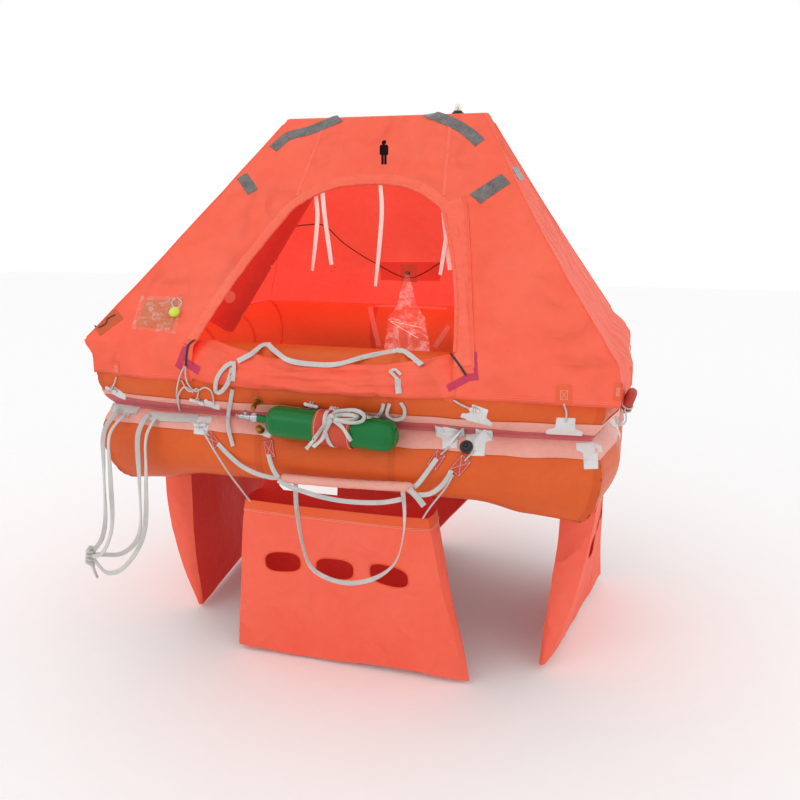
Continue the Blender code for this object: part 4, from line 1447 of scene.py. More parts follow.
    def loop(self, row: int, z: float, share: float) -> list[Vector | None]:
        """One closed row of the sheet; None stands where the door is open.

        Args:
            row: The row's number.
            z: Its height.
            share: Its share.

        Returns:
            The row's points, round from the left front hip.
        """
        line: list[Vector | None] = []
        ends = {key: self.hip(share, corner) if share <= 1 else self.skirt_corner(z, corner)[0]
                for key, corner in self.corners.items()}
        left = self.door_side(z, 0) if share <= 1 else self.door_bottom[0]
        right = self.door_side(z, 1) if share <= 1 else self.door_bottom[1]
        for c in range(self.wing_columns):
            t = c / self.wing_columns
            line.append(self.face_point(-ends[-1, -1] + (left + ends[-1, -1]) * t, z, share, -1))
        top_rows = self.crown_rows + self.upper_rows
        for c in range(self.door_columns + 1):
            across = c / self.door_columns
            x = left + (right - left) * across
            if c in (0, self.door_columns):
                line.append(self.face_point(x, z, share, -1))
            elif row > top_rows:
                line.append(None)
            elif share > 0:
                top = self.shoulder_z
                raised = self.door_edge(across) - self.door_corner_z
                z_here = z + raised * ((top - z) / (top - self.door_corner_z))
                line.append(self.face_point(x, z_here, self.share_at(z_here), -1))
            else:
                line.append(self.face_point(x, z, share, -1))
        for c in range(1, self.wing_columns):
            t = c / self.wing_columns
            line.append(self.face_point(right + (ends[1, -1] - right) * t, z, share, -1))
        for c in range(self.end_columns):
            line.append(self.end_point(1, 2 * c / self.end_columns - 1, z, share))
        for c in range(self.back_columns):
            x = ends[1, 1] + (-ends[-1, 1] - ends[1, 1]) * c / self.back_columns
            line.append(self.face_point(x, z, share, 1))
        for c in range(self.end_columns):
            line.append(self.end_point(-1, 1 - 2 * c / self.end_columns, z, share))
        return line

    def build_sheet(self) -> bpy.types.Object:
        """The canopy's sheet.

        Returns:
            The piece.
        """
        shape = Shape()
        rows = self.rows()
        lines = [self.loop(r, z, share) for r, (z, share) in enumerate(rows)]
        index: dict[tuple[int, int], int] = {}
        verts = []
        for r, line in enumerate(lines):
            for c, p in enumerate(line):
                if p is not None:
                    index[r, c] = len(verts)
                    verts.append(p)
        count = len(lines[0])
        faces = []
        for r in range(len(lines) - 1):
            for c in range(count):
                d = (c + 1) % count
                corners = [(r, c), (r + 1, c), (r + 1, d), (r, d)]
                if all(k in index for k in corners):
                    faces.append([index[k] for k in corners])
        shape.add(verts, faces)
        item = shape.build("canopy", CANOPY, CANOPY_INSIDE_GLOW, crease=38)
        mesh = item.data
        moved = [v.co + v.normal * self.lift(v.co) for v in mesh.vertices]
        for v, p in zip(mesh.vertices, moved):
            v.co = p
        solid = item.modifiers.new("Thickness", "SOLIDIFY")
        solid.thickness = self.cloth
        solid.offset = -1
        # the inner face takes the inner cloth with its painted glow
        solid.material_offset = 1
        solid.material_offset_rim = 0
        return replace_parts(item, "canopy_front_left", "canopy_front_right", "canopy_front_top",
                           "canopy_left", "canopy_right", "canopy_back")


@dataclass
class Arch:
    """The inflated arch that holds the canopy up."""

    sides: int = 48
    leg_steps: int = 16
    foot_sunk: float = 0.005

    def centre_line(self) -> list[tuple[Vector, Vector]]:
        """Centres of the arch's rings with the direction across each ring.

        Returns:
            Centres and directions, from the left foot to the right one.
        """
        slope = ARCH_SLOPE
        line = []
        foot_x = ARCH_FOOT_X + self.foot_sunk
        for sign in (-1, 1):
            across = Vector((sign * math.sin(slope), 0, math.cos(slope)))
            mitre = Vector((sign * math.sin(slope / 2), 0,
                            math.cos(slope / 2))) / math.cos(slope / 2)
            leg = []
            for i in range(self.leg_steps + 1):
                x = ARCH_SHOULDER_X + (foot_x - ARCH_SHOULDER_X) * i / self.leg_steps
                z = ARCH_TOP_Z - (x - ARCH_SHOULDER_X) * math.tan(slope)
                leg.append((Vector((sign * x, 0, z)), mitre if i == 0 else across))
            line = [*reversed(leg), *line] if sign < 0 else [*line, *leg]
        return line

    def build(self) -> bpy.types.Object:
        """The arch as one tube.

        Returns:
            The piece.
        """
        rings = []
        for centre, across in self.centre_line():
            rings.append([centre + across * ARCH_R * math.cos(a) + Vector((0, 1, 0)) * ARCH_R
                          * math.sin(a)
                          for a in turns(self.sides)])
        shape = Shape()
        shape.rings(rings)
        item = shape.piece("arch", "arch_fabric", ARCH_CLOTH_GLOW, crease=30)
        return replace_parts(item, "arch_crown", "arch_leg_left", "arch_leg_right")


# Laying pieces on a skin


@dataclass
class Spot:
    """A place on a skin with its own directions: across and up as the photo shows, and out."""

    carrier: Carrier
    origin: Vector
    out: Vector
    across: Vector
    up: Vector

    @classmethod
    def seen(cls, carrier: Carrier, pixel: Pixel, turn: float = 0.0) -> "Spot":
        """The place that a pixel shows, turned by degrees about its own outward direction."""
        place, normal = carrier.at(pixel)
        return cls.facing(carrier, place, normal, VIEW.axes()[2], turn)

    @classmethod
    def facing(cls, carrier: Carrier, place: Vector, out: Vector, right: Vector,
               turn: float = 0.0) -> "Spot":
        """A place with its outward direction given.

        Args:
            carrier: The skin.
            place: The place.
            out: Its outward direction.
            right: A direction to its right.
            turn: Degrees turned about the outward direction.

        Returns:
            The place with its directions.
        """
        across = (right - out * right.dot(out)).normalized()
        up = out.cross(across)
        angle = math.radians(turn)
        turned = across * math.cos(angle) + up * math.sin(angle)
        return cls(carrier, place, out, turned, out.cross(turned))

    def on(self, u: float, v: float, lift: float = 0.0) -> Vector:
        """A point of the skin at a place across and up, lifted off it.

        Args:
            u: Distance across.
            v: Distance up.
            lift: Distance off the skin.

        Returns:
            The point.
        """
        flat = self.origin + self.across * u + self.up * v
        place, _, _, _ = self.carrier.tree.ray_cast(flat + self.out * 0.03, -self.out, 0.08)
        return (flat if place is None else place) + self.out * lift


def rounded_box(width: float, height: float, radius: float = 0.003) -> list[Flat]:
    """A box with rounded corners, as points counted round from the lower right.

    Args:
        width: Width of the box.
        height: Height of the box.
        radius: Radius of its corners.

    Returns:
        The points.
    """
    points = []
    for quarter, (sx, sy) in enumerate(((1, -1), (1, 1), (-1, 1), (-1, -1))):
        for k in range(4):
            angle = math.radians(-90 + 90 * quarter + 30 * k)
            points.append((sx * (width / 2 - radius) + radius * math.cos(angle),
                           sy * (height / 2 - radius) + radius * math.sin(angle)))
    return points


def tee(width: float, height: float, stem: float, bar: float) -> list[Flat]:
    """A patch with a wide foot and a narrow stem, joined by round shoulders.

    Args:
        width: Width of the foot.
        height: Height of the whole patch.
        stem: Width of the stem.
        bar: Height of the foot.

    Returns:
        The outline's points.
    """
    foot = -height / 2
    points = [(width / 2, foot), (width / 2, foot + bar * 0.8)]
    reach = width / 2 - stem / 2
    for k in range(1, 6):
        angle = math.radians(90 * k / 6)
        points.append((width / 2 - reach * math.sin(angle),
                       foot + bar + reach * 0.6 * (1 - math.cos(angle))))
    points += [(stem / 2, height / 2 - 0.002), (stem / 2 - 0.002, height / 2)]
    return points + [(-x, y) for x, y in reversed(points)]


def dense_outline(outline: Sequence[Flat], step: float = 0.004) -> list[Flat]:
    """The outline with its long edges split.

    Args:
        outline: The outline's points.
        step: Longest edge that is left whole, about.

    Returns:
        The outline with more points.
    """
    made = []
    for (ax, ay), (bx, by) in zip(outline, [*outline[1:], outline[0]]):
        parts = max(1, round(math.hypot(bx - ax, by - ay) / step))
        made += [(ax + (bx - ax) * k / parts, ay + (by - ay) * k / parts) for k in range(parts)]
    return made


class LaidShape(Shape):
    """A shape with ways to lay thin pieces on a skin."""

    def slab(self, top: Sequence[Sequence[Vector]], bottom: Sequence[Sequence[Vector]],
             slot: int = 0) -> None:
        """A thin body between two equal grids of points.

        Args:
            top: Grid of the upper face.
            bottom: Grid of the lower face.
            slot: Material slot.
        """
        rows, cols = len(top), len(top[0])
        size = rows * cols
        verts = [p for line in (*top, *bottom) for p in line]
        faces = []
        for r in range(rows - 1):
            for c in range(cols - 1):
                a = r * cols + c
                faces.append((a, a + 1, a + cols + 1, a + cols))
                faces.append((size + a, size + a + cols, size + a + cols + 1, size + a + 1))
        rim = list(range(cols)) + [r * cols + cols - 1 for r in range(1, rows)]
        rim += [(rows - 1) * cols + c for c in range(cols - 2, -1, -1)]
        rim += [r * cols for r in range(rows - 2, 0, -1)]
        for a, b in zip(rim, [*rim[1:], rim[0]]):
            faces.append((a, a + size, b + size, b))
        self.add(verts, faces, slot)

    def quad(self, carrier: Carrier, corners: Sequence[Pixel], thickness: float = 0.0012,
             columns: int = 12, rows: int = 4, slot: int = 0, ruffle: float = 0.0) -> None:
        """A strip of cloth laid between four pixels.

        Args:
            carrier: The skin below.
            corners: Top left, top right, bottom right and bottom left pixels.
            thickness: Thickness of the strip.
            columns: Faces from left to right.
            rows: Faces from top to bottom.
            slot: Material slot.
            ruffle: Height of small waves of its surface.
        """
        top, bottom = [], []
        for j in range(rows + 1):
            upper, lower = [], []
            for i in range(columns + 1):
                u, v = i / columns, j / rows
                pixel = [(1 - v) * ((1 - u) * corners[0][k] + u * corners[1][k])
                         + v * ((1 - u) * corners[3][k] + u * corners[2][k]) for k in (0, 1)]
                place, normal = carrier.at((pixel[0], pixel[1]))
                rim = i in (0, columns) or j in (0, rows)
                wave = ruffle * (0.5 + noise.noise(place * 60.0))
                upper.append(place + normal * (0.0004 + wave + thickness * (0.3 if rim else 1.0)))
                lower.append(place - normal * 0.0006)
            top.append(upper)
            bottom.append(lower)
        self.slab(top, bottom, slot)

    def patch(self, spot: Spot, outline: Sequence[Flat], thickness: float = 0.002,
              slot: int = 0, dome: float = 0.0, base: float = 0.0) -> None:
        """A flat patch stuck on a skin, from an outline that its middle sees all of.

        Args:
            spot: Middle of the patch.
            outline: Points round it, across and up.
            thickness: Thickness of the patch.
            slot: Material slot.
            dome: Extra height of its middle.
            base: Distance of its underside off the skin.
        """
        line = dense_outline(outline)
        rings = []
        for share, rise in ((0.02, 1.0), (0.3, 1.0), (0.6, 1.0), (0.85, 1.0), (0.96, 0.95),
                            (1.0, 0.4)):
            lift = base + thickness * rise + dome * (1 - share * share)
            rings.append([spot.on(x * share, y * share, lift) for x, y in line])
        rings.append([spot.on(x, y, base - 0.0008) for x, y in line])
        self.rings(rings, slot=slot)

    def strap(self, carrier: Carrier, pixels: Sequence[Pixel], width: float,
              thickness: float = 0.0014, lift: float = 0.0003, count: int = 24,
              slot: int = 0) -> list[Vector]:
        """A flat strap laid along pixels.

        Args:
            carrier: The skin below.
            pixels: Pixels down the strap's middle.
            width: Width of the strap.
            thickness: Thickness of the strap.
            lift: Distance off the skin.
            count: Points of its route.
            slot: Material slot.

        Returns:
            The strap's middle line.
        """
        spots = [carrier.at((p.x, p.y))
                 for p in smooth_route([(x, y, 0) for x, y in pixels], count)]
        ways = [n for _, n in spots]
        for _ in range(3):
            ways = [(ways[max(0, i - 1)] + w * 2 + ways[min(len(ways) - 1, i + 1)]).normalized()
                    for i, w in enumerate(ways)]
        route = [p + w * (lift + thickness / 2) for (p, _), w in zip(spots, ways)]
        self.flat(route, ways, width, thickness, slot)
        return route

    def flat(self, route: Sequence[Vector], ways: Sequence[Vector], width: float,
             thickness: float = 0.0014, slot: int = 0) -> None:
        """A flat strap along a route that faces a given way at each of its points."""
        last = len(route) - 1
        self.ribbon(route, lambda share: ways[round(share * last)], width, thickness, slot)

    def stitches(self, line: Sequence[Vector], pitch: float = 0.006, length: float = 0.0038,
                 radius: float = 0.0006, slot: int = 0) -> None:
        """A row of stitches along a line.

        Args:
            line: The seam.
            pitch: Distance from stitch to stitch.
            length: Length of a stitch.
            radius: Radius of the thread.
            slot: Material slot.
        """
        total = route_length(line)
        count = max(2, int(total / pitch))
        even = smooth_route(line, count * 2 + 1)
        for a, b in zip(even[::2], even[1::2]):
            way = (b - a).normalized() * length / 2
            middle = (a + b) / 2
            self.tube([middle - way, middle + way], radius, sides=5, slot=slot)

    def cross_stitch(self, spot: Spot, width: float, height: float, lift: float,
                     slot: int = 0) -> None:
        """The box and cross sewn on a webbing end.

        Args:
            spot: Middle of the box.
            width: Width of the webbing's end.
            height: Its height.
            lift: Distance of the thread off the skin.
            slot: Material slot.
        """
        w, h = width / 2 - 0.003, height / 2 - 0.003
        corners = [(w, -h), (w, h), (-w, h), (-w, -h)]
        for (ax, ay), (bx, by) in [*zip(corners, [*corners[1:], corners[0]]),
                                   (corners[0], corners[2]), (corners[1], corners[3])]:
            line = [spot.on(ax + (bx - ax) * t, ay + (by - ay) * t, lift) for t in (0, 0.5, 1)]
            self.stitches(line, pitch=0.0045, length=0.003, radius=0.0005, slot=slot)


def soften(values: Sequence[Vector], passes: int) -> list[Vector]:
    """A row of vectors evened out along its run, its ends kept.

    Args:
        values: The vectors.
        passes: How many times they are evened out.

    Returns:
        The evened row.
    """
    row = list(values)
    for _ in range(passes):
        row = [row[0], *((row[i - 1] + row[i] * 2 + row[i + 1]) / 4
                         for i in range(1, len(row) - 1)), row[-1]]
    return row


def seam_line(carrier: Carrier, points: Sequence[Point], count: int, lift: float = 0.0,
              ) -> tuple[list[Vector], list[Vector]]:
    """Points of a skin along a route near it, and the way out at each.

    Args:
        carrier: The skin.
        points: Points of the route.
        count: How many points to return.
        lift: Distance off the skin.

    Returns:
        The points, and the ways out.
    """
    line, ways = [], []
    for p in smooth_route(points, count):
        spot, normal = carrier.near(p)
        if normal.dot(p - Vector((0, 0, 0.1))) < 0:
            normal = -normal
        line.append(spot)
        ways.append(normal)
    ways = [w.normalized() for w in soften(ways, 12)]
    line = soften(line, 2)
    return [p + w * lift for p, w in zip(line, ways)], ways


# Cords


KNOT = Vector((-0.905, -0.712, -0.545))
KNOT_R = 0.0125
BAND_LIFT = 0.0043
STRAND_WAYS = (-0.15, -1.0, 0.05)


@dataclass(frozen=True)
class Strand:
    """One hanging strand of the mooring webbing, by its own listed route."""

    share: float
    degrees: float
    height: float
    route: tuple[Point, ...]
    entry: Point
    twist: float


@dataclass
class MooringStrands:
    """The webbing strands at the left, the knot that joins them and its short tail."""

    width: float = 0.0165
    thickness: float = 0.0034
    cord: float = 0.0055
    knot_winds: int = 4
    wind_steps: int = 14
    # the knot's core and tail: offsets from its middle, points, radius, sides
    knot_parts: tuple[tuple[tuple[Point, ...], int, float, int], ...] = (
        (((0.004, 0, 0.034), (0, 0, 0), (0.006, 0, -0.040)), 9, 0.0085, 10),
        (((0.006, 0, -0.036), (0.014, -0.002, -0.062), (0.020, 0.002, -0.086)), 12, 0.0048, 8))
    strands: tuple[Strand, ...] = (
        Strand(-0.943, 45, 0.0034, ((-0.800, -0.712, -0.075), (-0.806, -0.724, -0.200),
                                    (-0.820, -0.720, -0.380), (-0.848, -0.712, -0.470)),
               (0.60, 0.08, 0.80), 25),
        Strand(-0.905, 40, 0.0030, ((-0.768, -0.728, -0.080), (-0.772, -0.738, -0.220),
                                    (-0.782, -0.738, -0.400), (-0.825, -0.736, -0.505)),
               (0.88, -0.43, 0.20), -20),
        Strand(-0.820, 45, 0.0014, ((-0.660, -0.724, -0.075), (-0.666, -0.728, -0.230),
                                    (-0.690, -0.716, -0.430), (-0.780, -0.694, -0.528)),
               (0.86, 0.51, 0.00), 30),
        Strand(-0.785, 40, 0.0001, ((-0.626, -0.730, -0.080), (-0.630, -0.740, -0.210),
                                    (-0.655, -0.742, -0.420), (-0.745, -0.735, -0.555),
                                    (-0.835, -0.718, -0.602)), (0.70, 0.00, -0.714), -25),
    )
    points: int = 40

    def route(self, strand: Strand) -> list[Vector]:
        """The strand's whole route, from the band to the knot.

        Args:
            strand: The strand.

        Returns:
            Points down its middle.
        """
        start = []
        for lift in (BAND_LIFT + strand.height, BAND_LIFT + strand.height + 0.012):
            reach = TUBE_R + lift
            angle = math.radians(strand.degrees)
            start.append(tube_place(Side.FRONT, strand.share, reach * math.cos(angle),
                                    -TUBE_RISE + reach * math.sin(angle), True))
        way = Vector(strand.entry).normalized()
        seat = KNOT + way * (KNOT_R + 0.0003)
        return smooth_route([*start, *strand.route, seat + way * 0.022, seat], self.points)

    def build_strand(self, number: int, strand: Strand) -> bpy.types.Object:
        """One strand as flat woven webbing.

        Args:
            number: The strand's number.
            strand: The strand.

        Returns:
            The piece.
        """
        route = self.route(strand)
        shape = LaidShape()
        ways = []
        for i in range(len(route)):
            turn = math.radians(strand.twist * math.sin(3.0 * math.pi * i / len(route)))
            ways.append(Matrix.Rotation(turn, 3, "Z") @ Vector(STRAND_WAYS))
        shape.flat(route, ways, self.width, self.thickness)
        item = shape.piece(f"mooring_webbing_{number}", "webbing", WEBBING)
        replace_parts(item, f"mooring_strand_{number}")
        return (item, tuple(route[0]), round(route_length(route), 3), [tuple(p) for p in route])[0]

    def build_knot(self) -> bpy.types.Object:
        """The knot: turns of webbing round the strands, with its tail.

        Returns:
            The piece.
        """
        shape = Shape()
        steps = self.knot_winds * self.wind_steps
        route = []
        for i in range(steps + 1):
            angle = 2 * math.pi * i / self.wind_steps
            rise = 0.030 - 0.060 * i / steps
            lean = Vector((-0.18, 0, -1)).normalized() * -rise
            route.append(KNOT + lean
                         + Vector((math.cos(angle) * 0.0120, math.sin(angle) * 0.0120, 0)))
        shape.tube(route, self.cord, sides=8)
        for offsets, count, radius, sides in self.knot_parts:
            shape.tube(smooth_route([KNOT + Vector(p) for p in offsets], count), radius, sides)
        item = shape.piece("mooring_knot_turns", "webbing", WEBBING)
        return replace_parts(item, "mooring_knot")

    def build(self) -> list[bpy.types.Object]:
        """The knot and its strands."""
        knot = self.build_knot()
        return [knot] + [self.build_strand(n, s) for n, s in enumerate(self.strands, 1)]


@dataclass
class Ladder:
    """Boarding step: a padded rung, its bridles and the stirrup under it."""

    left: Point = (-0.150, -0.716, -0.178)
    right: Point = (0.298, -0.716, -0.166)
    radius: float = 0.0150
    width: float = 0.0150
    stirrup: tuple[Point, ...] = (
        (-0.095, -0.716, -0.1874), (-0.096, -0.716, -0.260), (-0.086, -0.716, -0.358),
        (-0.066, -0.716, -0.447), (-0.040, -0.716, -0.488), (0.020, -0.716, -0.513),
        (0.085, -0.716, -0.516), (0.150, -0.716, -0.497), (0.205, -0.716, -0.462),
        (0.242, -0.716, -0.415), (0.262, -0.716, -0.340), (0.268, -0.716, -0.260),
        (0.262, -0.716, -0.1790))
    bridle_left: tuple[Point, ...] = (
        (-0.374, -0.7022, -0.0860), (-0.352, -0.7052, -0.1060), (-0.297, -0.712, -0.146),
        (-0.240, -0.716, -0.170), (-0.185, -0.716, -0.1800), (-0.1504, -0.716, -0.1780))
    bridle_right: tuple[Point, ...] = (
        (0.366, -0.7040, -0.0720), (0.350, -0.7068, -0.0960), (0.332, -0.712, -0.124),
        (0.314, -0.716, -0.150), (0.304, -0.716, -0.161), (0.2984, -0.716, -0.1660))
    inner_left: tuple[Point, ...] = (
        (-0.196, -0.6975, -0.098), (-0.188, -0.7080, -0.118), (-0.174, -0.7220, -0.140),
        (-0.160, -0.7300, -0.158), (-0.148, -0.7305, -0.172))
    inner_right: tuple[Point, ...] = (
        (0.412, -0.7048, -0.1050), (0.404, -0.7095, -0.1240), (0.384, -0.7240, -0.1530),
        (0.350, -0.7300, -0.178), (0.305, -0.7310, -0.186))
    under: tuple[Point, ...] = (
        (-0.150, -0.7310, -0.182), (-0.118, -0.7310, -0.196), (-0.084, -0.7310, -0.206),
        (-0.016, -0.7310, -0.221), (0.059, -0.7310, -0.229), (0.132, -0.7310, -0.228),
        (0.204, -0.7310, -0.220), (0.262, -0.7310, -0.204))

    def build_rung(self) -> bpy.types.Object:
        """The padded rung.

        Returns:
            The piece.
        """
        a, b = Vector(self.left), Vector(self.right)
        rings = []
        for i in range(61):
            t = i / 60
            centre = a.lerp(b, t) + Vector((0, 0, -0.004 * math.sin(math.pi * t)))
            close = min(1.0, min(t, 1 - t) / 0.03)
            ring = []
            for angle in turns(24):
                up, side = math.sin(angle), math.cos(angle)
                crinkle = 1 + 0.07 * noise.noise(Vector((t * 42, side * 1.2, up * 1.2)))
                size = self.radius * (0.35 + 0.65 * close ** 0.5) * crinkle
                ring.append(centre + Vector((0, side * size * 0.9, up * size)))
            rings.append(ring)
        shape = Shape()
        shape.rings(rings)
        item = shape.piece("ladder_rung", "band_fabric", BAND_CLOTH)
        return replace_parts(item, "ladder_step")

    def build_webbing(self, name: str, points: Sequence[Point], node: str | None, count: int,
                      twist: float) -> bpy.types.Object:
        """One strap of the ladder.

        Args:
            name: The piece's name.
            points: Points down the strap's middle.
            node: Node of the solids that it replaces.
            count: Points of its route.
            twist: Degrees that it turns to and fro.

        Returns:
            The piece.
        """
        route = smooth_route(points, count)
        shape = Shape()
        shape.ribbon(route, lambda share: Matrix.Rotation(
            math.radians(twist * math.sin(2 * math.pi * share)), 3, "Z") @ Vector((0.05, -1, 0.25)),
            self.width, 0.0022)
        item = shape.build(name, WEBBING, crease=50)
        if node:
            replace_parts(item, node)
        return (item, tuple(route[0]), round(route_length(route), 3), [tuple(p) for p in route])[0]

    def build(self) -> list[bpy.types.Object]:
        """The rung and its straps.

        Returns:
            The pieces.
        """
        straps = (("stirrup_webbing", self.stirrup, "ladder_stirrup", 40, 75),
                  ("under_webbing", self.under, None, 30, 20),
                  ("bridle_webbing_left", self.bridle_left, "ladder_bridle_left", 30, 8),
                  ("bridle_webbing_right", self.bridle_right, "ladder_bridle_right", 30, -8),
                  ("inner_webbing_left", self.inner_left, None, 24, 0),
                  ("inner_webbing_right", self.inner_right, None, 24, 0))
        return [self.build_rung(), *(self.build_webbing(*strap) for strap in straps)]


# Cloth on the tubes


@dataclass
class Bands:
    """The pale reinforcement strips beside the joint, and a mauve sheet of painted shade in the joint itself
    and over the lower part of the upper strip.
    """

    upper: Flat = (-60, -29)
    lower: Flat = (30, 61)
    columns: int = 9
    stations: int = 90
    thickness: float = 0.0013
    wave: float = 0.0022
    joint_out: float = 0.0610
    # run along the front, share of the upper strip's width that the painted shade covers
    shade: tuple[Flat, ...] = (
        (-0.75, 0.72), (-0.60, 0.66), (-0.45, 0.54), (-0.33, 0.38), (0.0, 0.46), (0.37, 0.50),
        (0.55, 0.38),
        (0.73, 0.30), (0.80, 0.16))

    def strip(self, shape: LaidShape, side: Side, level: Level,
              reach: Callable[[float], float] = lambda x: 1.0, lift: float = 0.0) -> None:
        """One strip along one side, up to a reach of its width that may change along it.

        Args:
            shape: The shape that the strip joins.
            side: The side of the raft.
            level: The tube.
            reach: Share of the width that is covered, by the run along the side.
            lift: Distance off the skin.
        """
        top, bottom = [], []
        low, high = self.upper if level is Level.UPPER else self.lower
        free = high if level is Level.UPPER else low
        for i in range(self.stations + 1):
            share = 2 * i / self.stations - 1
            upper, lower = [], []
            for k in range(self.columns + 1):
                t = k / self.columns * reach(share * side.half)
                ripple = noise.noise(Vector((share * side.half * 14, level.value * 40,
                                             side.offset * 7)))
                degrees = low + (high - low) * t + 2.0 * ripple * (t if free == high else 1 - t)
                away = abs(degrees - free) / abs(high - low)
                flap = max(0.0, 1 - away * 1.6)
                swell = 0.5 + 0.5 * noise.noise(Vector((share * side.half * 9,
                                                        3.1 + level.value * 30, t)))
                rise = lift + 0.0009 + self.wave * flap * swell
                upper.append(skin(side, level, share * side.half, degrees, rise + self.thickness))
                lower.append(skin(side, level, share * side.half, degrees, rise))
            top.append(upper)
            bottom.append(lower)
        shape.slab(top, bottom)

    def shade_reach(self, side: Side) -> Callable[[float], float]:
        """How far the joint's painted shade reaches up the upper strip.

        Args:
            side: The side of the raft.

        Returns:
            The share of the strip's width, by the run along the side.
        """
        if side is not Side.FRONT:
            return lambda x: 0.42
        return lambda x: read_table(self.shade, x)[0] + 0.05 * noise.noise(Vector((x * 9, 2.2, 0)))

    def build(self) -> list[bpy.types.Object]:
        """Both strips, and the joint's sheet of painted shade.

        Returns:
            The pieces.
        """
        made = []
        for name, level in (("upper_band", Level.UPPER), ("lower_band", Level.LOWER)):
            shape = LaidShape()
            for side in Side:
                self.strip(shape, side, level)
            item = shape.piece(f"{name}_strip", "band_fabric", BAND_CLOTH, crease=40)
            made.append(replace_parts(item, name))
        # a sheet of painted shade in the joint between the tubes
        shape = LaidShape()
        for side in Side:
            top, bottom = [], []
            for i in range(self.stations + 1):
                share = 2 * i / self.stations - 1
                rows = []
                for k in range(5):
                    z = -0.010 + 0.020 * k / 4
                    fold = 0.0018 * noise.noise(Vector((share * side.half * 22, k * 0.6,
                                                        side.offset)))
                    rows.append((self.joint_out + fold, z))
                top.append([tube_place(side, share, o, z) for o, z in rows])
                bottom.append([tube_place(side, share, o - 0.0015, z) for o, z in rows])
            shape.slab(top, bottom)
            # painted shade over the lower part of the upper strip
            self.strip(shape, side, Level.UPPER, self.shade_reach(side), self.thickness + 0.0004)
        joint = shape.piece("joint_strip", "band_fabric", JOINT_SHADE, crease=40)
        return [*made, joint]


@dataclass
class DoorFlap:
    """The lower door's cloth, rolled down over the front tube."""

    # x, lower angle, upper angle, thickness
    table: tuple[tuple[float, float, float, float], ...] = (
        (-0.462, 8, 84, 0.010), (-0.420, 4, 80, 0.020), (-0.330, 0, 62, 0.030),
        (-0.200, -2, 48, 0.032), (0.000, -3, 42, 0.030), (0.200, -2, 44, 0.032),
        (0.330, 0, 60, 0.030), (0.400, 4, 78, 0.020), (0.425, 8, 82, 0.010))
    stations: int = 150
    columns: int = 34
    fold: float = 0.0075

    def place(self, x: float, share: float, outer: bool) -> Vector:
        """A point of the flap at a run along the front and a share up its height.

        Args:
            x: Run along the front.
            share: Share of the height.
            outer: Whether the point is on the roll's outside.

        Returns:
            The point.
        """
        low, high, thick = read_table(self.table, x)
        low += 2.5 * noise.noise(Vector((x * 11, 0.4, 0)))
        high += 3.0 * noise.noise(Vector((x * 13, 5.4, 0)))
        angle = math.radians(low + (high - low) * share)
        radius = TUBE_R + 0.0026
        if outer:
            round_share = max(0.0, 4 * share * (1 - share)) ** 0.5
            ends = ease(min(x - self.table[0][0], self.table[-1][0] - x) / 0.04)
            folds = noise.noise(Vector((x * 5.5, share * 9.0, 1.2)))
            folds += 0.5 * noise.noise(Vector((x * 17, share * 15, 4.0)))
            pleats = 0.35 * math.sin(share * 17 + x * 6 + 2.5 * noise.noise(Vector((x * 3, 0, 7))))
            swell = self.fold * (folds + pleats) * round_share * ends
            radius += 0.0018 + thick * round_share + swell
        return Side.FRONT.place(x, radius * math.cos(angle), TUBE_RISE + radius * math.sin(angle))

    def build(self) -> bpy.types.Object:
        """The flap as one closed roll of cloth.

        Returns:
            The piece.
        """
        rings = []
        first, last = self.table[0][0], self.table[-1][0]
        for i in range(self.stations + 1):
            x = first + (last - first) * i / self.stations
            ring = [self.place(x, k / 8, False) for k in range(9)]
            ring += [self.place(x, 1 - k / self.columns, True) for k in range(self.columns + 1)]
            rings.append(ring)
        shape = Shape()
        shape.rings(rings)
        item = shape.piece("door_roll", "canopy_fabric", CANOPY, crease=55)
        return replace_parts(item, "door_flap")


@dataclass
class RaftFloor:
    """The floor's sheet, hung under the lower tube and sagging between its edges."""

    degrees: float = 225.0
    divisions: int = 60
    sag: float = 0.016
    thickness: float = 0.0016

    def build(self) -> bpy.types.Object:
        """The floor.

        Returns:
            The piece.
        """
        angle = math.radians(self.degrees)
        reach = TUBE_R * math.cos(angle)
        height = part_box("raft_floor")[1].z - 0.003
        half_x, half_y = AXIS_X + reach - 0.0027, AXIS_Y + reach - 0.0027
        grids = []
        for drop in (0.0, self.thickness):
            grid = []
            for j in range(self.divisions + 1):
                line = []
                for i in range(self.divisions + 1):
                    sx, sy = 2 * i / self.divisions - 1, 2 * j / self.divisions - 1
                    fall = 0.0
                    for share, other in ((sx, sy), (sy, sx)):
                        droop = lower_sag(share * 0.90, reach, height)[1] - height
                        fall = min(fall, droop * abs(other) ** 6)
                    hang = self.sag * (1 - sx ** 4) * (1 - sy ** 4)
                    wave = 0.006 * noise.noise(Vector((sx * 5, sy * 4, 2)))
                    fold = wave * (1 - sx ** 8) * (1 - sy ** 8)
                    z = height + fall - hang + fold - drop
                    line.append(Vector((sx * half_x, sy * half_y, z)))
                grid.append(line)
            grids.append(grid)
        shape = LaidShape()
        shape.slab(*grids)
        item = shape.piece("raft_floor_sheet", "floor_fabric", FLOOR_CLOTH)
        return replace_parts(item, "raft_floor")


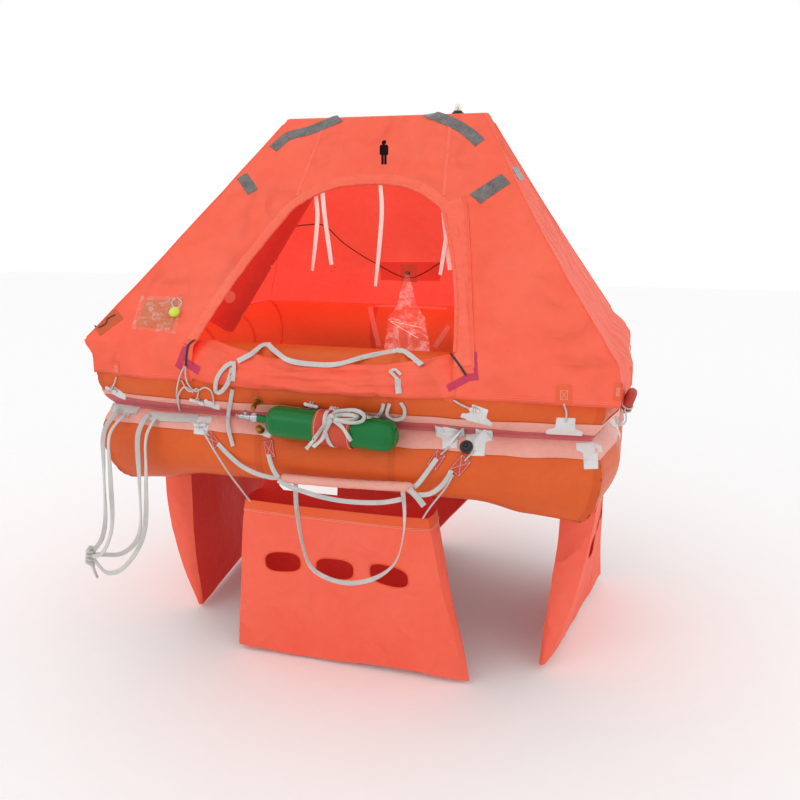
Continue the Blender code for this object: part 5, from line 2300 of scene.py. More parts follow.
@dataclass
class BallastPocket:
    """One water pocket: an open bag with drain holes and a bound mouth."""

    side: Side
    low_half: float
    shift: float
    swing: Flat
    seed: float = 0.0
    top_z: float = -0.300
    bottom_z: float = -0.890
    out: float = 0.050
    inn: float = -0.070
    ear_z: float = -0.2118
    cloth: float = 0.0014
    hole: Flat = (0.066, 0.037)
    hole_drop: float = 0.215
    hole_run: float = 0.19
    rows: int = 44
    front_columns: int = 44
    wrinkle: float = 0.0135

    @property
    def drains(self) -> tuple[float, float, float]:
        """Runs of the three drain holes along the side."""
        return -self.hole_run, 0.0, self.hole_run

    def section(self, share: float, inset: float) -> list[Vector]:
        """One level outline of the bag.

        Args:
            share: Share of the bag's drop, from its mouth.
            inset: Distance in from the bag's outside.

        Returns:
            The outline's points.
        """
        # share of the drop, half width, depth
        table = ((0.0, 0.330, 1.0), (0.12, 0.345, 1.0), (0.45, 0.372, 0.85),
                 (0.80, 0.3 * 0.372 + 0.7 * self.low_half, 0.45), (1.0, self.low_half, 0.16))
        half, depth = read_table(table, share)
        middle = (self.out + self.inn) / 2
        reach = (self.out - self.inn) / 2 * depth
        front, rear = middle + reach - inset, middle - reach + inset
        wide = half - inset
        z = self.top_z + (self.bottom_z - self.top_z) * share + (inset if share == 1.0 else 0)

        def edge(sign: int, start: float, end: float) -> list[Point]:
            """Points of a narrow side, bulging a little."""
            return [(sign * wide * (0.97 + 0.03 * math.sin(math.pi * t)),
                     start + (end - start) * t, 0.0) for t in (k / 6 for k in range(1, 6))]

        points = []
        for k in range(self.front_columns + 1):
            u = 2 * k / self.front_columns - 1
            points.append((u * wide * 0.97, front + 0.012 * depth * (1 - abs(u) ** 3), 0.0))
        points += edge(1, front, rear)
        for k in range(self.front_columns + 1):
            u = 1 - 2 * k / self.front_columns
            ear = max(0.0, 1 - abs(abs(u) - 0.87) / 0.13) * max(0.0, 1 - share / 0.10)
            points.append((u * wide * 0.97, rear, (self.ear_z - self.top_z) * ease(ear)))
        points += edge(-1, rear, front)
        made = []
        for along, out, rise in points:
            place = Vector((along * 3.4, self.seed + (0 if out > middle else 9), z * 1.9))
            drape = noise.noise(place) + 0.45 * noise.noise(place * 2.7)
            calm = min(1.0, share / 0.10 + 0.15)
            reach_here = out + self.wrinkle * drape * calm * (1.0 if share < 0.98 else 0.8)
            pull = share ** 1.5
            turn = (along / half + 1) / 2
            reach_here += (self.swing[0] + (self.swing[1] - self.swing[0]) * turn) * pull
            uneven = 0.006 * math.sin(along * 9 + self.seed) * share
            made.append(self.side.place(along + self.shift * pull, reach_here, z + rise + uneven))
        return made

    def hole_ring(self, along: float, out: float, scale: float = 1.0) -> list[Vector]:
        """An oval round a drain hole.

        Args:
            along: The hole's run along the side.
            out: Reach outwards past the tube's axis.
            scale: Size beside the hole's own.

        Returns:
            The oval's points.
        """
        ring = []
        for a in turns(48):
            wide = math.copysign(abs(math.cos(a)) ** 0.72, math.cos(a))
            tall = math.copysign(abs(math.sin(a)) ** 0.72, math.sin(a))
            slant = 0.10 * self.hole[0] * wide * math.sin(self.seed + along * 8)
            rise = self.hole[1] * scale * tall - slant
            ring.append(self.side.place(along + self.hole[0] * scale * wide, out,
                                        self.top_z - self.hole_drop + rise))
        return ring

    def build(self) -> list[bpy.types.Object]:
        """The bag and its trimmings.

        Returns:
            The pieces.
        """
        name = self.side.tag
        shells = [[self.section(r / self.rows, inset) for r in range(self.rows + 1)]
                  for inset in (0.0, self.cloth)]
        shape = Shape()
        outer, inner = shells
        shape.rings([*reversed(outer), *inner])
        size = len(outer[0])
        # the lining and the rear wall, which faces in under the raft, take the darker cloth of painted shade
        rear = range(self.front_columns + 6, 2 * self.front_columns + 7)
        for number, corners in enumerate(shape.faces):
            lining = min(corners) >= len(outer) * size
            shape.slots[number] = int(lining or all(v % size in rear for v in corners))
        bag = shape.build(f"ballast_bag_{name}", POCKET_CLOTH, POCKET_SHADE_GLOW, crease=45)
        inside = Carrier(bag)
        for along in self.drains:
            cutter = Shape()
            cutter.rings([self.hole_ring(along, -0.008), self.hole_ring(along, 0.14)])
            tool = cutter.build(f"cutter_{name}", POCKET_SHADE_GLOW)
            cut = bag.modifiers.new("Drain", "BOOLEAN")
            cut.operation = "DIFFERENCE"
            cut.solver = "EXACT"
            cut.object = tool
            graph = bpy.context.evaluated_depsgraph_get()
            mesh = bpy.data.meshes.new_from_object(bag.evaluated_get(graph))
            bag.modifiers.clear()
            bag.data = mesh
            bpy.data.objects.remove(tool)
        face = self.side.face
        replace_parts(bag, f"pocket_{name}")
        trim = LaidShape()
        for along in self.drains:
            line = []
            for p in self.hole_ring(along, 0.16, 1.03):
                place, _, _, _ = inside.tree.ray_cast(p, -face)
                line.append((place if place is not None else p - face * 0.1) + face * 0.0006)
            line.append(line[0])
            trim.tube(line, 0.0017, sides=6)
        trim.rings([self.section(s, -0.0012) for s in (0.0, 0.03, 0.065)], caps=False)
        for s in (0.058, 0.066):
            trim.stitches(self.section(s, -0.0018), slot=1)
        edge = trim.piece(f"ballast_trim_{name}", "pocket_fabric", POCKET_TRIM, THREAD)
        return [bag, edge]


POCKETS = (BallastPocket(Side.FRONT, 0.430, 0.027, (0.0, 0.0), seed=0.0),
           BallastPocket(Side.RIGHT, 0.405, -0.020, (-0.090, 0.070), seed=4.7),
           BallastPocket(Side.BACK, 0.260, 0.220, (-0.020, 0.010), seed=9.4),
           BallastPocket(Side.LEFT, 0.370, -0.030, (0.020, -0.070), seed=14.1))


# Fittings


@dataclass(frozen=True)
class Tab:
    """A patch by its pixel, size and turn."""

    pixel: Pixel
    width: float
    height: float
    turn: float = 0.0


@dataclass
class TubeFittings:
    """White patches with toggles, T patches and brick-red webbing ends on the front tubes."""

    cleats: tuple[Tab, ...] = (
        Tab((119, 394), 0.054, 0.032, -14), Tab((212, 405), 0.056, 0.030, -12),
        Tab((311, 405.5), 0.050, 0.014, -6), Tab((337, 410), 0.050, 0.012, -4),
        Tab((202, 420), 0.074, 0.026, -6), Tab((201, 429), 0.052, 0.036, -10),
        Tab((266, 431), 0.046, 0.034, -24))
    toggles: tuple[Tab, ...] = (
        Tab((113, 388.5), 0.046, 0.006, -8), Tab((198, 400), 0.050, 0.006, -12),
        Tab((312, 404), 0.046, 0.006, -4), Tab((337, 409), 0.046, 0.006, -4),
        Tab((475, 409), 0.032, 0.006, -8), Tab((201, 426), 0.044, 0.006, -6))
    tees: tuple[Tab, ...] = (
        Tab((565, 427.5), 0.106, 0.066, 2), Tab((590.5, 455), 0.080, 0.080, 180),
        Tab((478, 415), 0.096, 0.056, -10),
        Tab((450, 439), 0.090, 0.064, 176), Tab((478.5, 444), 0.082, 0.072, 172))
    ends: tuple[Tab, ...] = (
        Tab((212.5, 440), 0.032, 0.060, 40), Tab((269.5, 449), 0.034, 0.058, 10),
        Tab((436.5, 460), 0.036, 0.058, -36), Tab((460.5, 465.5), 0.040, 0.062, -40))
    hem_tabs: tuple[Tab, ...] = (
        Tab((116.5, 368.5), 0.032, 0.052, -4), Tab((564, 395), 0.046, 0.060, 2),
        Tab((618, 392), 0.024, 0.050, 0))
    orange_tab: Tab = Tab((450.5, 394.5), 0.030, 0.044, -20)
    hem_stitch: float = 0.55
    # the other three sides: runs of their patches, and the patches' sizes
    around_upper: tuple[float, ...] = (-0.38, 0.38)
    around_lower: tuple[float, ...] = (-0.30, 0.30)
    tee_upper: tuple[float, ...] = (0.106, 0.066, 0.055, 0.022)
    tee_lower: tuple[float, ...] = (0.082, 0.076, 0.044, 0.026)
    hem_size: Flat = (0.046, 0.060)
    # run and radius of a toggle's end
    toggle_end: tuple[Flat, ...] = (
        (0, 0.004), (0.002, 0.0058), (0.010, 0.0060), (0.0105, 0.0048), (0.0115, 0.0048),
        (0.012, 0.0060))
    lines: tuple[tuple[Pixel, ...], ...] = (
        ((108, 406), (121, 409), (139, 410)), ((148, 416), (160, 417), (180, 418), (198, 419)))

    def round_spot(self, carrier: Carrier, side: Side, level: Level, along: float, degrees: float,
                   turn: float = 0.0) -> Spot:
        """A place on a tube's skin, by its side, run and angle.

        Args:
            carrier: The skin.
            side: The side of the raft.
            level: The tube.
            along: Run along the side.
            degrees: Angle round the tube.
            turn: Degrees turned about the outward direction.

        Returns:
            The place with its directions.
        """
        angle = math.radians(degrees)
        out = side.face * math.cos(angle) + Vector((0, 0, math.sin(angle)))
        place = skin(side, level, along, degrees, 0.004)
        return Spot.facing(carrier, place, out, side.run, turn)

    def build(self, skin_below: Carrier, cloth: Carrier) -> list[bpy.types.Object]:
        """All the fittings.

        Args:
            skin_below: The tubes' skin with their strips.
            cloth: The same with the canopy.

        Returns:
            The pieces.
        """
        made = []
        patches = LaidShape()
        for tab in self.cleats:
            spot = Spot.seen(skin_below, tab.pixel, tab.turn)
            patches.patch(spot, rounded_box(tab.width, tab.height, 0.006), 0.0022)
        for tab in self.tees:
            spot = Spot.seen(skin_below, tab.pixel, tab.turn)
            patches.patch(spot, tee(tab.width, tab.height, tab.width * 0.52, tab.height * 0.34),
                          0.0026)
        for side in OTHER_SIDES:
            for along in self.around_upper:
                patches.patch(self.round_spot(skin_below, side, Level.UPPER, along, -34),
                              tee(*self.tee_upper), 0.0026)
            for along in self.around_lower:
                patches.patch(self.round_spot(skin_below, side, Level.LOWER, along, 36, 180),
                              tee(*self.tee_lower), 0.0026)
        made.append(patches.piece("white_patches", "webbing", WHITE_PATCH))
        toggles = LaidShape()
        for tab in self.toggles:
            spot = Spot.seen(skin_below, tab.pixel, tab.turn)
            start = spot.origin + spot.out * 0.009 - spot.across * tab.width / 2
            bar = [*self.toggle_end, *((tab.width - r, q) for r, q in reversed(self.toggle_end))]
            toggles.lathe(start, spot.across, bar, 20)
            for u in (-0.004, 0.004):
                loop = [spot.on(u, 0.010, 0.001), spot.origin + spot.across * u + spot.out * 0.0165,
                        spot.on(u, -0.010, 0.001)]
                toggles.tube(smooth_route(loop, 9), 0.0022, sides=6, slot=1)
        made.append(toggles.piece("toggles", "webbing", WHITE_PATCH, WEBBING))
        tabs = LaidShape()
        for tab in self.ends:
            spot = Spot.seen(skin_below, tab.pixel, tab.turn)
            tabs.patch(spot, rounded_box(tab.width, tab.height), 0.0026, base=0.0010)
            tabs.cross_stitch(spot, tab.width, tab.height, 0.0040, slot=1)
        made.append(tabs.piece("webbing_ends", "webbing", TAB_CLOTH, STITCH))
        hems = LaidShape()
        for tab in (*self.hem_tabs, self.orange_tab):
            spot = Spot.seen(cloth, tab.pixel, tab.turn)
            hems.patch(spot, rounded_box(tab.width, tab.height), 0.0016)
            hems.cross_stitch(spot, tab.width * self.hem_stitch, tab.height * self.hem_stitch,
                              0.0020, slot=1)
        for side in OTHER_SIDES:
            for along in self.around_upper:
                place, _ = cloth.near(side.place(along, TUBE_R + 0.05, HEM_Z + 0.032))
                spot = Spot.facing(cloth, place, side.face, side.run)
                hems.patch(spot, rounded_box(*self.hem_size), 0.0016)
                hems.cross_stitch(spot, *(s * self.hem_stitch for s in self.hem_size), 0.0020,
                                  slot=1)
                rope = [spot.on(0, -0.024, 0.003),
                        spot.on(0.002, -0.032, 0.005) - Vector((0, 0, 0.012)),
                        skin(side, Level.UPPER, along, -22, 0.006)]
                hems.tube(smooth_route(rope, 9), 0.0028, 6, slot=1)
        made.append(hems.piece("hem_tabs", "canopy_fabric", ORANGE_TAB, THREAD))
        lines = LaidShape()
        for pixels in self.lines:
            lines.strap(skin_below, pixels, 0.034, 0.0024, count=30)
        made.append(lines.piece("band_webbing", "webbing", WEBBING))
        return made


@dataclass
class CanopyDress:
    """Seams, hems, zips, tapes, patches and stitching on the canopy."""

    canopy: Canopy
    tapes: tuple[tuple[tuple[Pixel, ...], float], ...] = (
        (((273, 149), (281, 142), (289, 136), (311, 130), (340, 118)), 0.044),
        (((242, 176), (247, 183), (253, 192)), 0.042),
        (((426, 114), (438, 117), (455, 124), (469, 133), (480, 143)), 0.042),
        (((475, 199), (487, 191), (499, 183), (506, 178.5)), 0.056),
        (((515.5, 174.5), (518, 173.5), (520.5, 172.5)), 0.056))
    stitch_rise: tuple[float, ...] = (0.010, 0.016)
    # the door's facing: its middle's way out from the edge, its width
    facing: Flat = (0.020, 0.034)
    label: tuple[Pixel, ...] = ((146, 300), (179, 300), (172, 330), (136, 326))
    film: tuple[Pixel, ...] = ((142, 296), (183, 297), (176, 334), (131, 329))
    hip_patch: Pixel = (108, 322)
    hip_turn: float = 38.0
    hip_line: tuple[Flat, ...] = ((0.034, 0.004), (0.006, 0.010), (-0.010, -0.004), (-0.036, 0.002))
    person: Pixel = (384, 152)
    # in pixels from there: middle, top, bottom, half width at the top, half width at the bottom
    person_parts: tuple[tuple[float, ...], ...] = (
        (0, -7.3, -5.6, 3.1, 4.3), (0, -5.6, 2.4, 4.3, 4.3), (0, 2.4, 3.2, 4.3, 2.8),
        (-1.45, 3.2, 12.3, 1.2, 1.2), (1.45, 3.2, 12.3, 1.2, 1.2))
    zip_line: tuple[Pixel, ...] = ((464, 196), (468, 226), (471, 300), (473, 368))
    door_band: tuple[Pixel, ...] = ((455, 200), (460, 226), (462, 300), (463, 366))
    left_zip: tuple[Pixel, ...] = ((186, 366), (187, 354), (189, 345), (197, 339))
    right_zip: tuple[Pixel, ...] = ((450, 353), (458, 363), (466, 375))
    magenta: tuple[tuple[Pixel, ...], ...] = (
        ((184, 343), (190, 346), (181, 370), (175, 366)),
        ((188, 359), (201, 367), (198, 375), (186, 367)),
        ((446, 385), (467, 374), (470, 381), (449, 392)),
        ((466, 374), (478, 373), (479, 380), (470, 381)),
        ((473.5, 352), (477, 352), (478, 376), (474, 376)))

    def door_line(self, out: float) -> list[Point]:
        """The door's edge from its left foot over the top to its right foot, moved outwards.

        Args:
            out: Distance outwards from the edge.

        Returns:
            The line's points.
        """
        shape = self.canopy
        line = []
        for side in (0, 1):
            leg = []
            for i in range(15):
                z = 0.25 + (shape.door_corner_z - 0.25) * i / 14
                x = shape.door_side(z, side) + out * (1 if side else -1)
                leg.append((x, -shape.depth(shape.share_at(z)), z))
            if side == 0:
                line += leg
                for k in range(1, 16):
                    across = k / 16
                    z = shape.door_edge(across) + out
                    x = shape.door_top[0] + (shape.door_top[1] - shape.door_top[0]) * across
                    line.append((x, -shape.depth(shape.share_at(z)), z))
            else:
                line += list(reversed(leg))
        return line

    def hip_points(self, corner: tuple[int, int]) -> list[Point]:
        """Points down one hip.

        Args:
            corner: The corner, as its signs in X and Y.

        Returns:
            The points, from the top.
        """
        shape = self.canopy
        top = shape.shoulder_z
        points = []
        for i in range(13):
            share = 0.02 + 0.97 * i / 12
            x = corner[0] * shape.hip(share, shape.corners[corner])
            points.append((x, corner[1] * shape.depth(share), top - (top - KNUCKLE_Z) * share))
        return points

    def build_seams(self, cloth: Carrier) -> bpy.types.Object:
        """Taped seams, the door's rolled edge and its facing, with their stitches.

        Args:
            cloth: The canopy's skin.

        Returns:
            The piece.
        """
        shape = LaidShape()
        for corner in self.canopy.corners:
            line, _ = seam_line(cloth, self.hip_points(corner), 60, 0.0006)
            shape.tube(line, 0.0021, sides=8)
        for side in (0, 1):
            points = []
            for i in range(8):
                z = self.canopy.door_corner_z + 0.05 + 0.26 * i / 7
                share = (self.canopy.ridge_z - z) / (self.canopy.ridge_z - KNUCKLE_Z)
                points.append((self.canopy.door_side(z, side), -self.canopy.depth(share), z))
            line, ways = seam_line(cloth, points, 24, 0.0005)
            shape.flat(line, ways, 0.012, 0.0010)
        roll, ways = seam_line(cloth, self.door_line(0.003), 150, 0.002)
        wrinkled = [p + w * 0.0030 * noise.noise(p * 48) for p, w in zip(roll, ways)]
        shape.tube(wrinkled, 0.0060, sides=10)
        out, width = self.facing
        line, ways = seam_line(cloth, self.door_line(out), 150, 0.0009)
        puckered = [p + w * (0.0018 + 0.0030 * noise.noise(p * 34) + 0.0012 * noise.noise(p * 90))
                    for p, w in zip(line, ways)]
        shape.flat(puckered, ways, width, 0.0014)
        for edge in (out - width / 2 + 0.003, out + width / 2 - 0.003):
            row, _ = seam_line(cloth, self.door_line(edge), 150, 0.0030)
            shape.stitches(row, slot=1)
        return shape.piece("canopy_seams", "canopy_fabric", SEAM_CLOTH, SEAM_THREAD)

    def build_stitches(self, cloth: Carrier) -> bpy.types.Object:
        """Rows of stitches round the hem.

        Args:
            cloth: The canopy's skin.

        Returns:
            The piece.
        """
        shape = LaidShape()
        for sign in (-1, 1):
            spans = ((-0.84, -0.48), (0.44, 0.86)) if sign < 0 else ((-0.84, 0.84),)
            for first, last in spans:
                for rise in self.stitch_rise:
                    points = [(first + (last - first) * i / 20, sign * (AXIS_Y + 0.125),
                               HEM_Z + rise)
                              for i in range(21)]
                    line, _ = seam_line(cloth, points, 80, 0.0006)
                    shape.stitches(line)
            for rise in self.stitch_rise:
                points = [(sign * (AXIS_X + 0.13), -0.62 + 1.24 * i / 20, HEM_Z + rise)
                          for i in range(21)]
                line, _ = seam_line(cloth, points, 80, 0.0006)
                shape.stitches(line)
        return shape.piece("hem_stitches", "canopy_fabric", SEAM_THREAD)

    def build_tapes(self, cloth: Carrier) -> bpy.types.Object:
        """Worn reflective tapes.

        Args:
            cloth: The canopy's skin.

        Returns:
            The piece.
        """
        shape = LaidShape()
        for pixels, width in self.tapes:
            shape.strap(cloth, pixels, width, 0.0009, lift=0.0006, count=26)
        return shape.piece("reflective_tapes", "label_fabric", RETRO)

    def build_patches(self, cloth: Carrier, door: Carrier) -> list[bpy.types.Object]:
        """Label under its film, hip patch, person sign and magenta tapes.

        Args:
            cloth: The canopy's skin.
            door: The skin of the canopy and the door's roll.

        Returns:
            The pieces.
        """
        label = LaidShape()
        label.quad(cloth, self.label, 0.0012, 14, 10)
        made = [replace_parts(label.piece("label_sheet", "label_fabric", LABEL), "label_pouch")]
        film = LaidShape()
        film.quad(cloth, self.film, 0.0034, 18, 14, ruffle=0.0015)
        made.append(film.piece("label_film", "clear_film", FILM))
        hip = LaidShape()
        spot = Spot.seen(cloth, self.hip_patch, self.hip_turn)
        hip.patch(spot, rounded_box(0.096, 0.064, 0.005), 0.0022)
        line = [spot.on(u, v, 0.0040) for u, v in self.hip_line]
        hip.tube(smooth_route(line, 16), 0.0018, 6, slot=1)
        made.append(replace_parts(hip.piece("hip_patch", "label_fabric", HIP_CLOTH, BLACK),
                                "hip_pouch"))
        sign = LaidShape()
        x, y = self.person
        sign.patch(Spot.seen(cloth, (x, y - 9.6)), oval(0.0085, 0.0110, 20), 0.0003)
        for middle, top, bottom, wide, low_wide in self.person_parts:
            sign.quad(cloth, ((x + middle - wide, y + top), (x + middle + wide, y + top),
                              (x + middle + low_wide, y + bottom),
                              (x + middle - low_wide, y + bottom)),
                      0.0004, 6, 6)
        made.append(sign.piece("person_sign", "canopy_fabric", INK))
        patches = LaidShape()
        for corners in self.magenta:
            patches.quad(door, corners, 0.0014, 8, 4)
        made.append(patches.piece("magenta_tapes", "webbing", MAGENTA))
        return made

    def build_zips(self, cloth: Carrier, door: Carrier) -> bpy.types.Object:
        """The door's zips, with their teeth and the facing beside them.

        Args:
            cloth: The canopy's skin.
            door: The skin of the canopy and the door's roll.

        Returns:
            The piece.
        """
        shape = LaidShape()
        for pixels in (self.left_zip, self.right_zip):
            line = shape.strap(door, pixels, 0.007, 0.0016, lift=0.002)
            shape.stitches(line, 0.0042, 0.0024, 0.0016)
        shape.strap(cloth, self.door_band, 0.048, 0.0016, lift=0.0010, count=60, slot=1)
        line = shape.strap(cloth, self.zip_line, 0.010, 0.0024, lift=0.0014, count=60, slot=1)
        out = Vector((0, -0.0014, 0.0008))
        shape.stitches([p + out for p in line], 0.0050, 0.0026, 0.0014, slot=1)
        return shape.piece("door_zips", "black_plastic", BLACK, SEAM_CLOTH)

    def build(self, cloth: Carrier, door: Carrier) -> list[bpy.types.Object]:
        """Everything on the canopy."""
        return [self.build_seams(cloth), self.build_stitches(cloth), self.build_tapes(cloth),
                *self.build_patches(cloth, door), self.build_zips(cloth, door)]


@dataclass
class GasBottle:
    """The green gas bottle with its valve, sleeve and the bow that ties it."""

    middle: Point = (0.020, -0.7218, 0.003)
    tilt: float = -3.2
    radius: float = 0.050
    # runs along the axis, each with the radius there: valve head, its cap, side outlet
    head: tuple[Flat, ...] = (
        (-0.310, 0.0060), (-0.3095, 0.0078), (-0.300, 0.0082), (-0.299, 0.0068), (-0.2965, 0.0068),
        (-0.296, 0.0092), (-0.284, 0.0096), (-0.2835, 0.0086), (-0.270, 0.0086), (-0.2695, 0.0112),
        (-0.262, 0.0114), (-0.2615, 0.0098), (-0.257, 0.0098), (-0.2565, 0.0136), (-0.240, 0.0138),
        (-0.2355, 0.0132))
    cap: tuple[Flat, ...] = ((0, 0.003), (0.0005, 0.0064), (0.0095, 0.0090), (0.010, 0.0084))
    outlet: tuple[Flat, ...] = (
        (0.006, 0.0050), (0.016, 0.0050), (0.0162, 0.0066), (0.021, 0.0066), (0.0215, 0.003))
    sleeve: Flat = (-0.030, 0.088)
    strap: float = 0.016
    tape_width: float = 0.0125
    tape_steps: int = 30
    # each tape of the bow: pixels, each with how far it stands off the bottle
    bow: tuple[tuple[tuple[float, float, float], ...], ...] = (
        ((330, 417, 0.008), (337, 412, 0.013), (350, 410, 0.016), (360, 412, 0.016),
         (364.5, 417, 0.014),
         (360, 422, 0.012), (348, 422.5, 0.011), (334, 419, 0.010)),
        ((331, 418, 0.010), (341, 415, 0.015), (352, 415, 0.017), (358, 417, 0.015),
         (350, 420, 0.013),
         (336, 420, 0.011)),
        ((331, 419, 0.010), (324, 426, 0.009), (317, 435, 0.008), (311, 443, 0.010),
         (306, 449, 0.013)),
        ((331, 420, 0.012), (326, 430, 0.012), (322, 439, 0.011), (313, 447, 0.012)),
        ((334, 421, 0.009), (341, 426, 0.008), (346, 433, 0.008), (351, 441, 0.010)))
    knot: Pixel = (331, 418)

    def at(self, run: float) -> Vector:
        """A place on the bottle's axis."""
        return Vector(self.middle) + self.axis * run

    def round_place(self, run: float, angle: float, size: float) -> Vector:
        """A place round the bottle, by its run, its angle up from the front and its distance."""
        return self.at(run) + Vector((0, -math.cos(angle) * size, math.sin(angle) * size))

    @property
    def axis(self) -> Vector:
        """The bottle's direction, to the right."""
        return Vector((math.cos(math.radians(self.tilt)), 0, math.sin(math.radians(self.tilt))))

    def build_body(self) -> bpy.types.Object:
        """The bottle itself.

        Returns:
            The piece.
        """
        profile = [(-0.235, 0.013), (-0.202, 0.013), (-0.2005, 0.0165)]
        profile += [(-0.162 - 0.0385 * math.cos(a), 0.0165 + (self.radius - 0.0165) * math.sin(a))
                    for a in (math.pi / 2 * k / 12 for k in range(1, 13))]
        profile += [(0.186 + 0.036 * math.sin(a), 0.024 + (self.radius - 0.024) * math.cos(a))
                    for a in (math.pi / 2 * k / 12 for k in range(13))]
        profile += [(0.2255, 0.0235), (0.226, 0.020), (0.223, 0.012), (0.222, 0.004)]
        shape = Shape()
        shape.lathe(self.at(0), self.axis, profile, 72)
        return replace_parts(shape.piece("gas_bottle", "gas_green", GREEN, crease=35), "gas_cylinder")

    def build_valve(self) -> bpy.types.Object:
        """The valve head with its knurled nut, cap and side outlet.

        Returns:
            The piece.
        """
        shape = Shape()
        shape.lathe(self.at(0), self.axis, self.head, 32)
        for angle in turns(24):
            spoke = Vector((0, math.cos(angle), math.sin(angle)))
            shape.tube([self.at(-0.2555) + spoke * 0.0136, self.at(-0.2405) + spoke * 0.0136],
                       0.0007, 5)
        shape.lathe(self.at(-0.3135), self.axis, self.cap, 24, slot=1)
        shape.lathe(self.at(-0.277), Vector((0, -0.3, 1)), self.outlet, 6)
        item = shape.piece("bottle_valve", "steel", STEEL, RED_CAP, crease=35)
        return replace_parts(item, "cylinder_valve")

    def build_sleeve(self) -> bpy.types.Object:
        """The stitched sleeve round the bottle.

        Returns:
            The piece.
        """
        shape = LaidShape()
        angles = [math.radians(-150 + 5 * i) for i in range(61)]
        grids = []
        for lift in (0.0030, 0.0006):
            grid = []
            for angle in angles:
                line = []
                for k in range(17):
                    run = self.sleeve[0] + (self.sleeve[1] - self.sleeve[0]) * k / 16
                    rough = 0.0012 * (0.5 + noise.noise(Vector((run * 50, angle * 2.2, 3.3))))
                    rim = 0.0008 * (k in (0, 1, 15, 16))
                    size = self.radius + lift + rough + rim
                    line.append(self.round_place(run, angle, size))
                grid.append(line)
            grids.append(grid)
        shape.slab(*grids)
        for run in (self.sleeve[0] + 0.006, self.sleeve[1] - 0.006):
            shape.stitches([self.round_place(run, a, self.radius + 0.0048) for a in angles], slot=1)
        item = shape.piece("bottle_sleeve", "sleeve_fabric", TAB_CLOTH, STITCH)
        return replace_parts(item, "cylinder_sleeve")

    def over(self, pixel: Pixel, lift: float) -> Vector:
        """The place where a tape lies on the bottle's front, at a pixel of the photograph.

        Args:
            pixel: The pixel.
            lift: How far the tape stands off the bottle.

        Returns:
            The place.
        """
        upward = Vector((0, 1, 0)).cross(self.axis)
        depth = self.radius
        for _ in range(4):
            place = VIEW.on_plane(pixel, self.middle[1] - depth)
            height = abs((place - Vector(self.middle)).dot(upward))
            depth = max(self.radius ** 2 - height ** 2, 0.016 ** 2) ** 0.5
        return VIEW.on_plane(pixel, self.middle[1] - depth - 0.004 - lift)

    def build_bow(self) -> bpy.types.Object:
        """The bow over the sleeve, with the tape that it ties.

        Returns:
            The piece.
        """
        shape = LaidShape()
        for number, points in enumerate(self.bow):
            route = smooth_route([self.over((x, y), lift) for x, y, lift in points],
                                 self.tape_steps)
            ways = []
            for i in range(self.tape_steps):
                turn = math.radians(34
                                    * math.sin(2.2 * math.pi * i / (self.tape_steps - 1) + number))
                ways.append(Matrix.Rotation(turn, 3, heading(route, i)) @ TOWARD)
            shape.flat(route, ways, self.tape_width)
        line, ways = [], []
        for i in range(41):
            angle = math.radians(-140 + 7 * i)
            way = Vector((0, -math.cos(angle), math.sin(angle)))
            line.append(self.at(self.strap - 0.012 * math.sin(angle)) + way
                        * (self.radius + 0.0062))
            ways.append(way)
        shape.flat(line, ways, 0.013)
        middle = self.over(self.knot, 0.010)
        knot = [middle
                + Vector((0.007 * math.cos(a), -0.004 * math.sin(2 * a), 0.0075 * math.sin(a)))
                for a in (*turns(14), 2 * math.pi)]
        shape.flat(knot, [TOWARD] * len(knot), 0.011, 0.0030)
        return shape.piece("sleeve_bow", "webbing", WEBBING)

    def build(self) -> list[bpy.types.Object]:
        """The bottle and all that is on it."""
        return [self.build_body(), self.build_valve(), self.build_sleeve(), self.build_bow()]


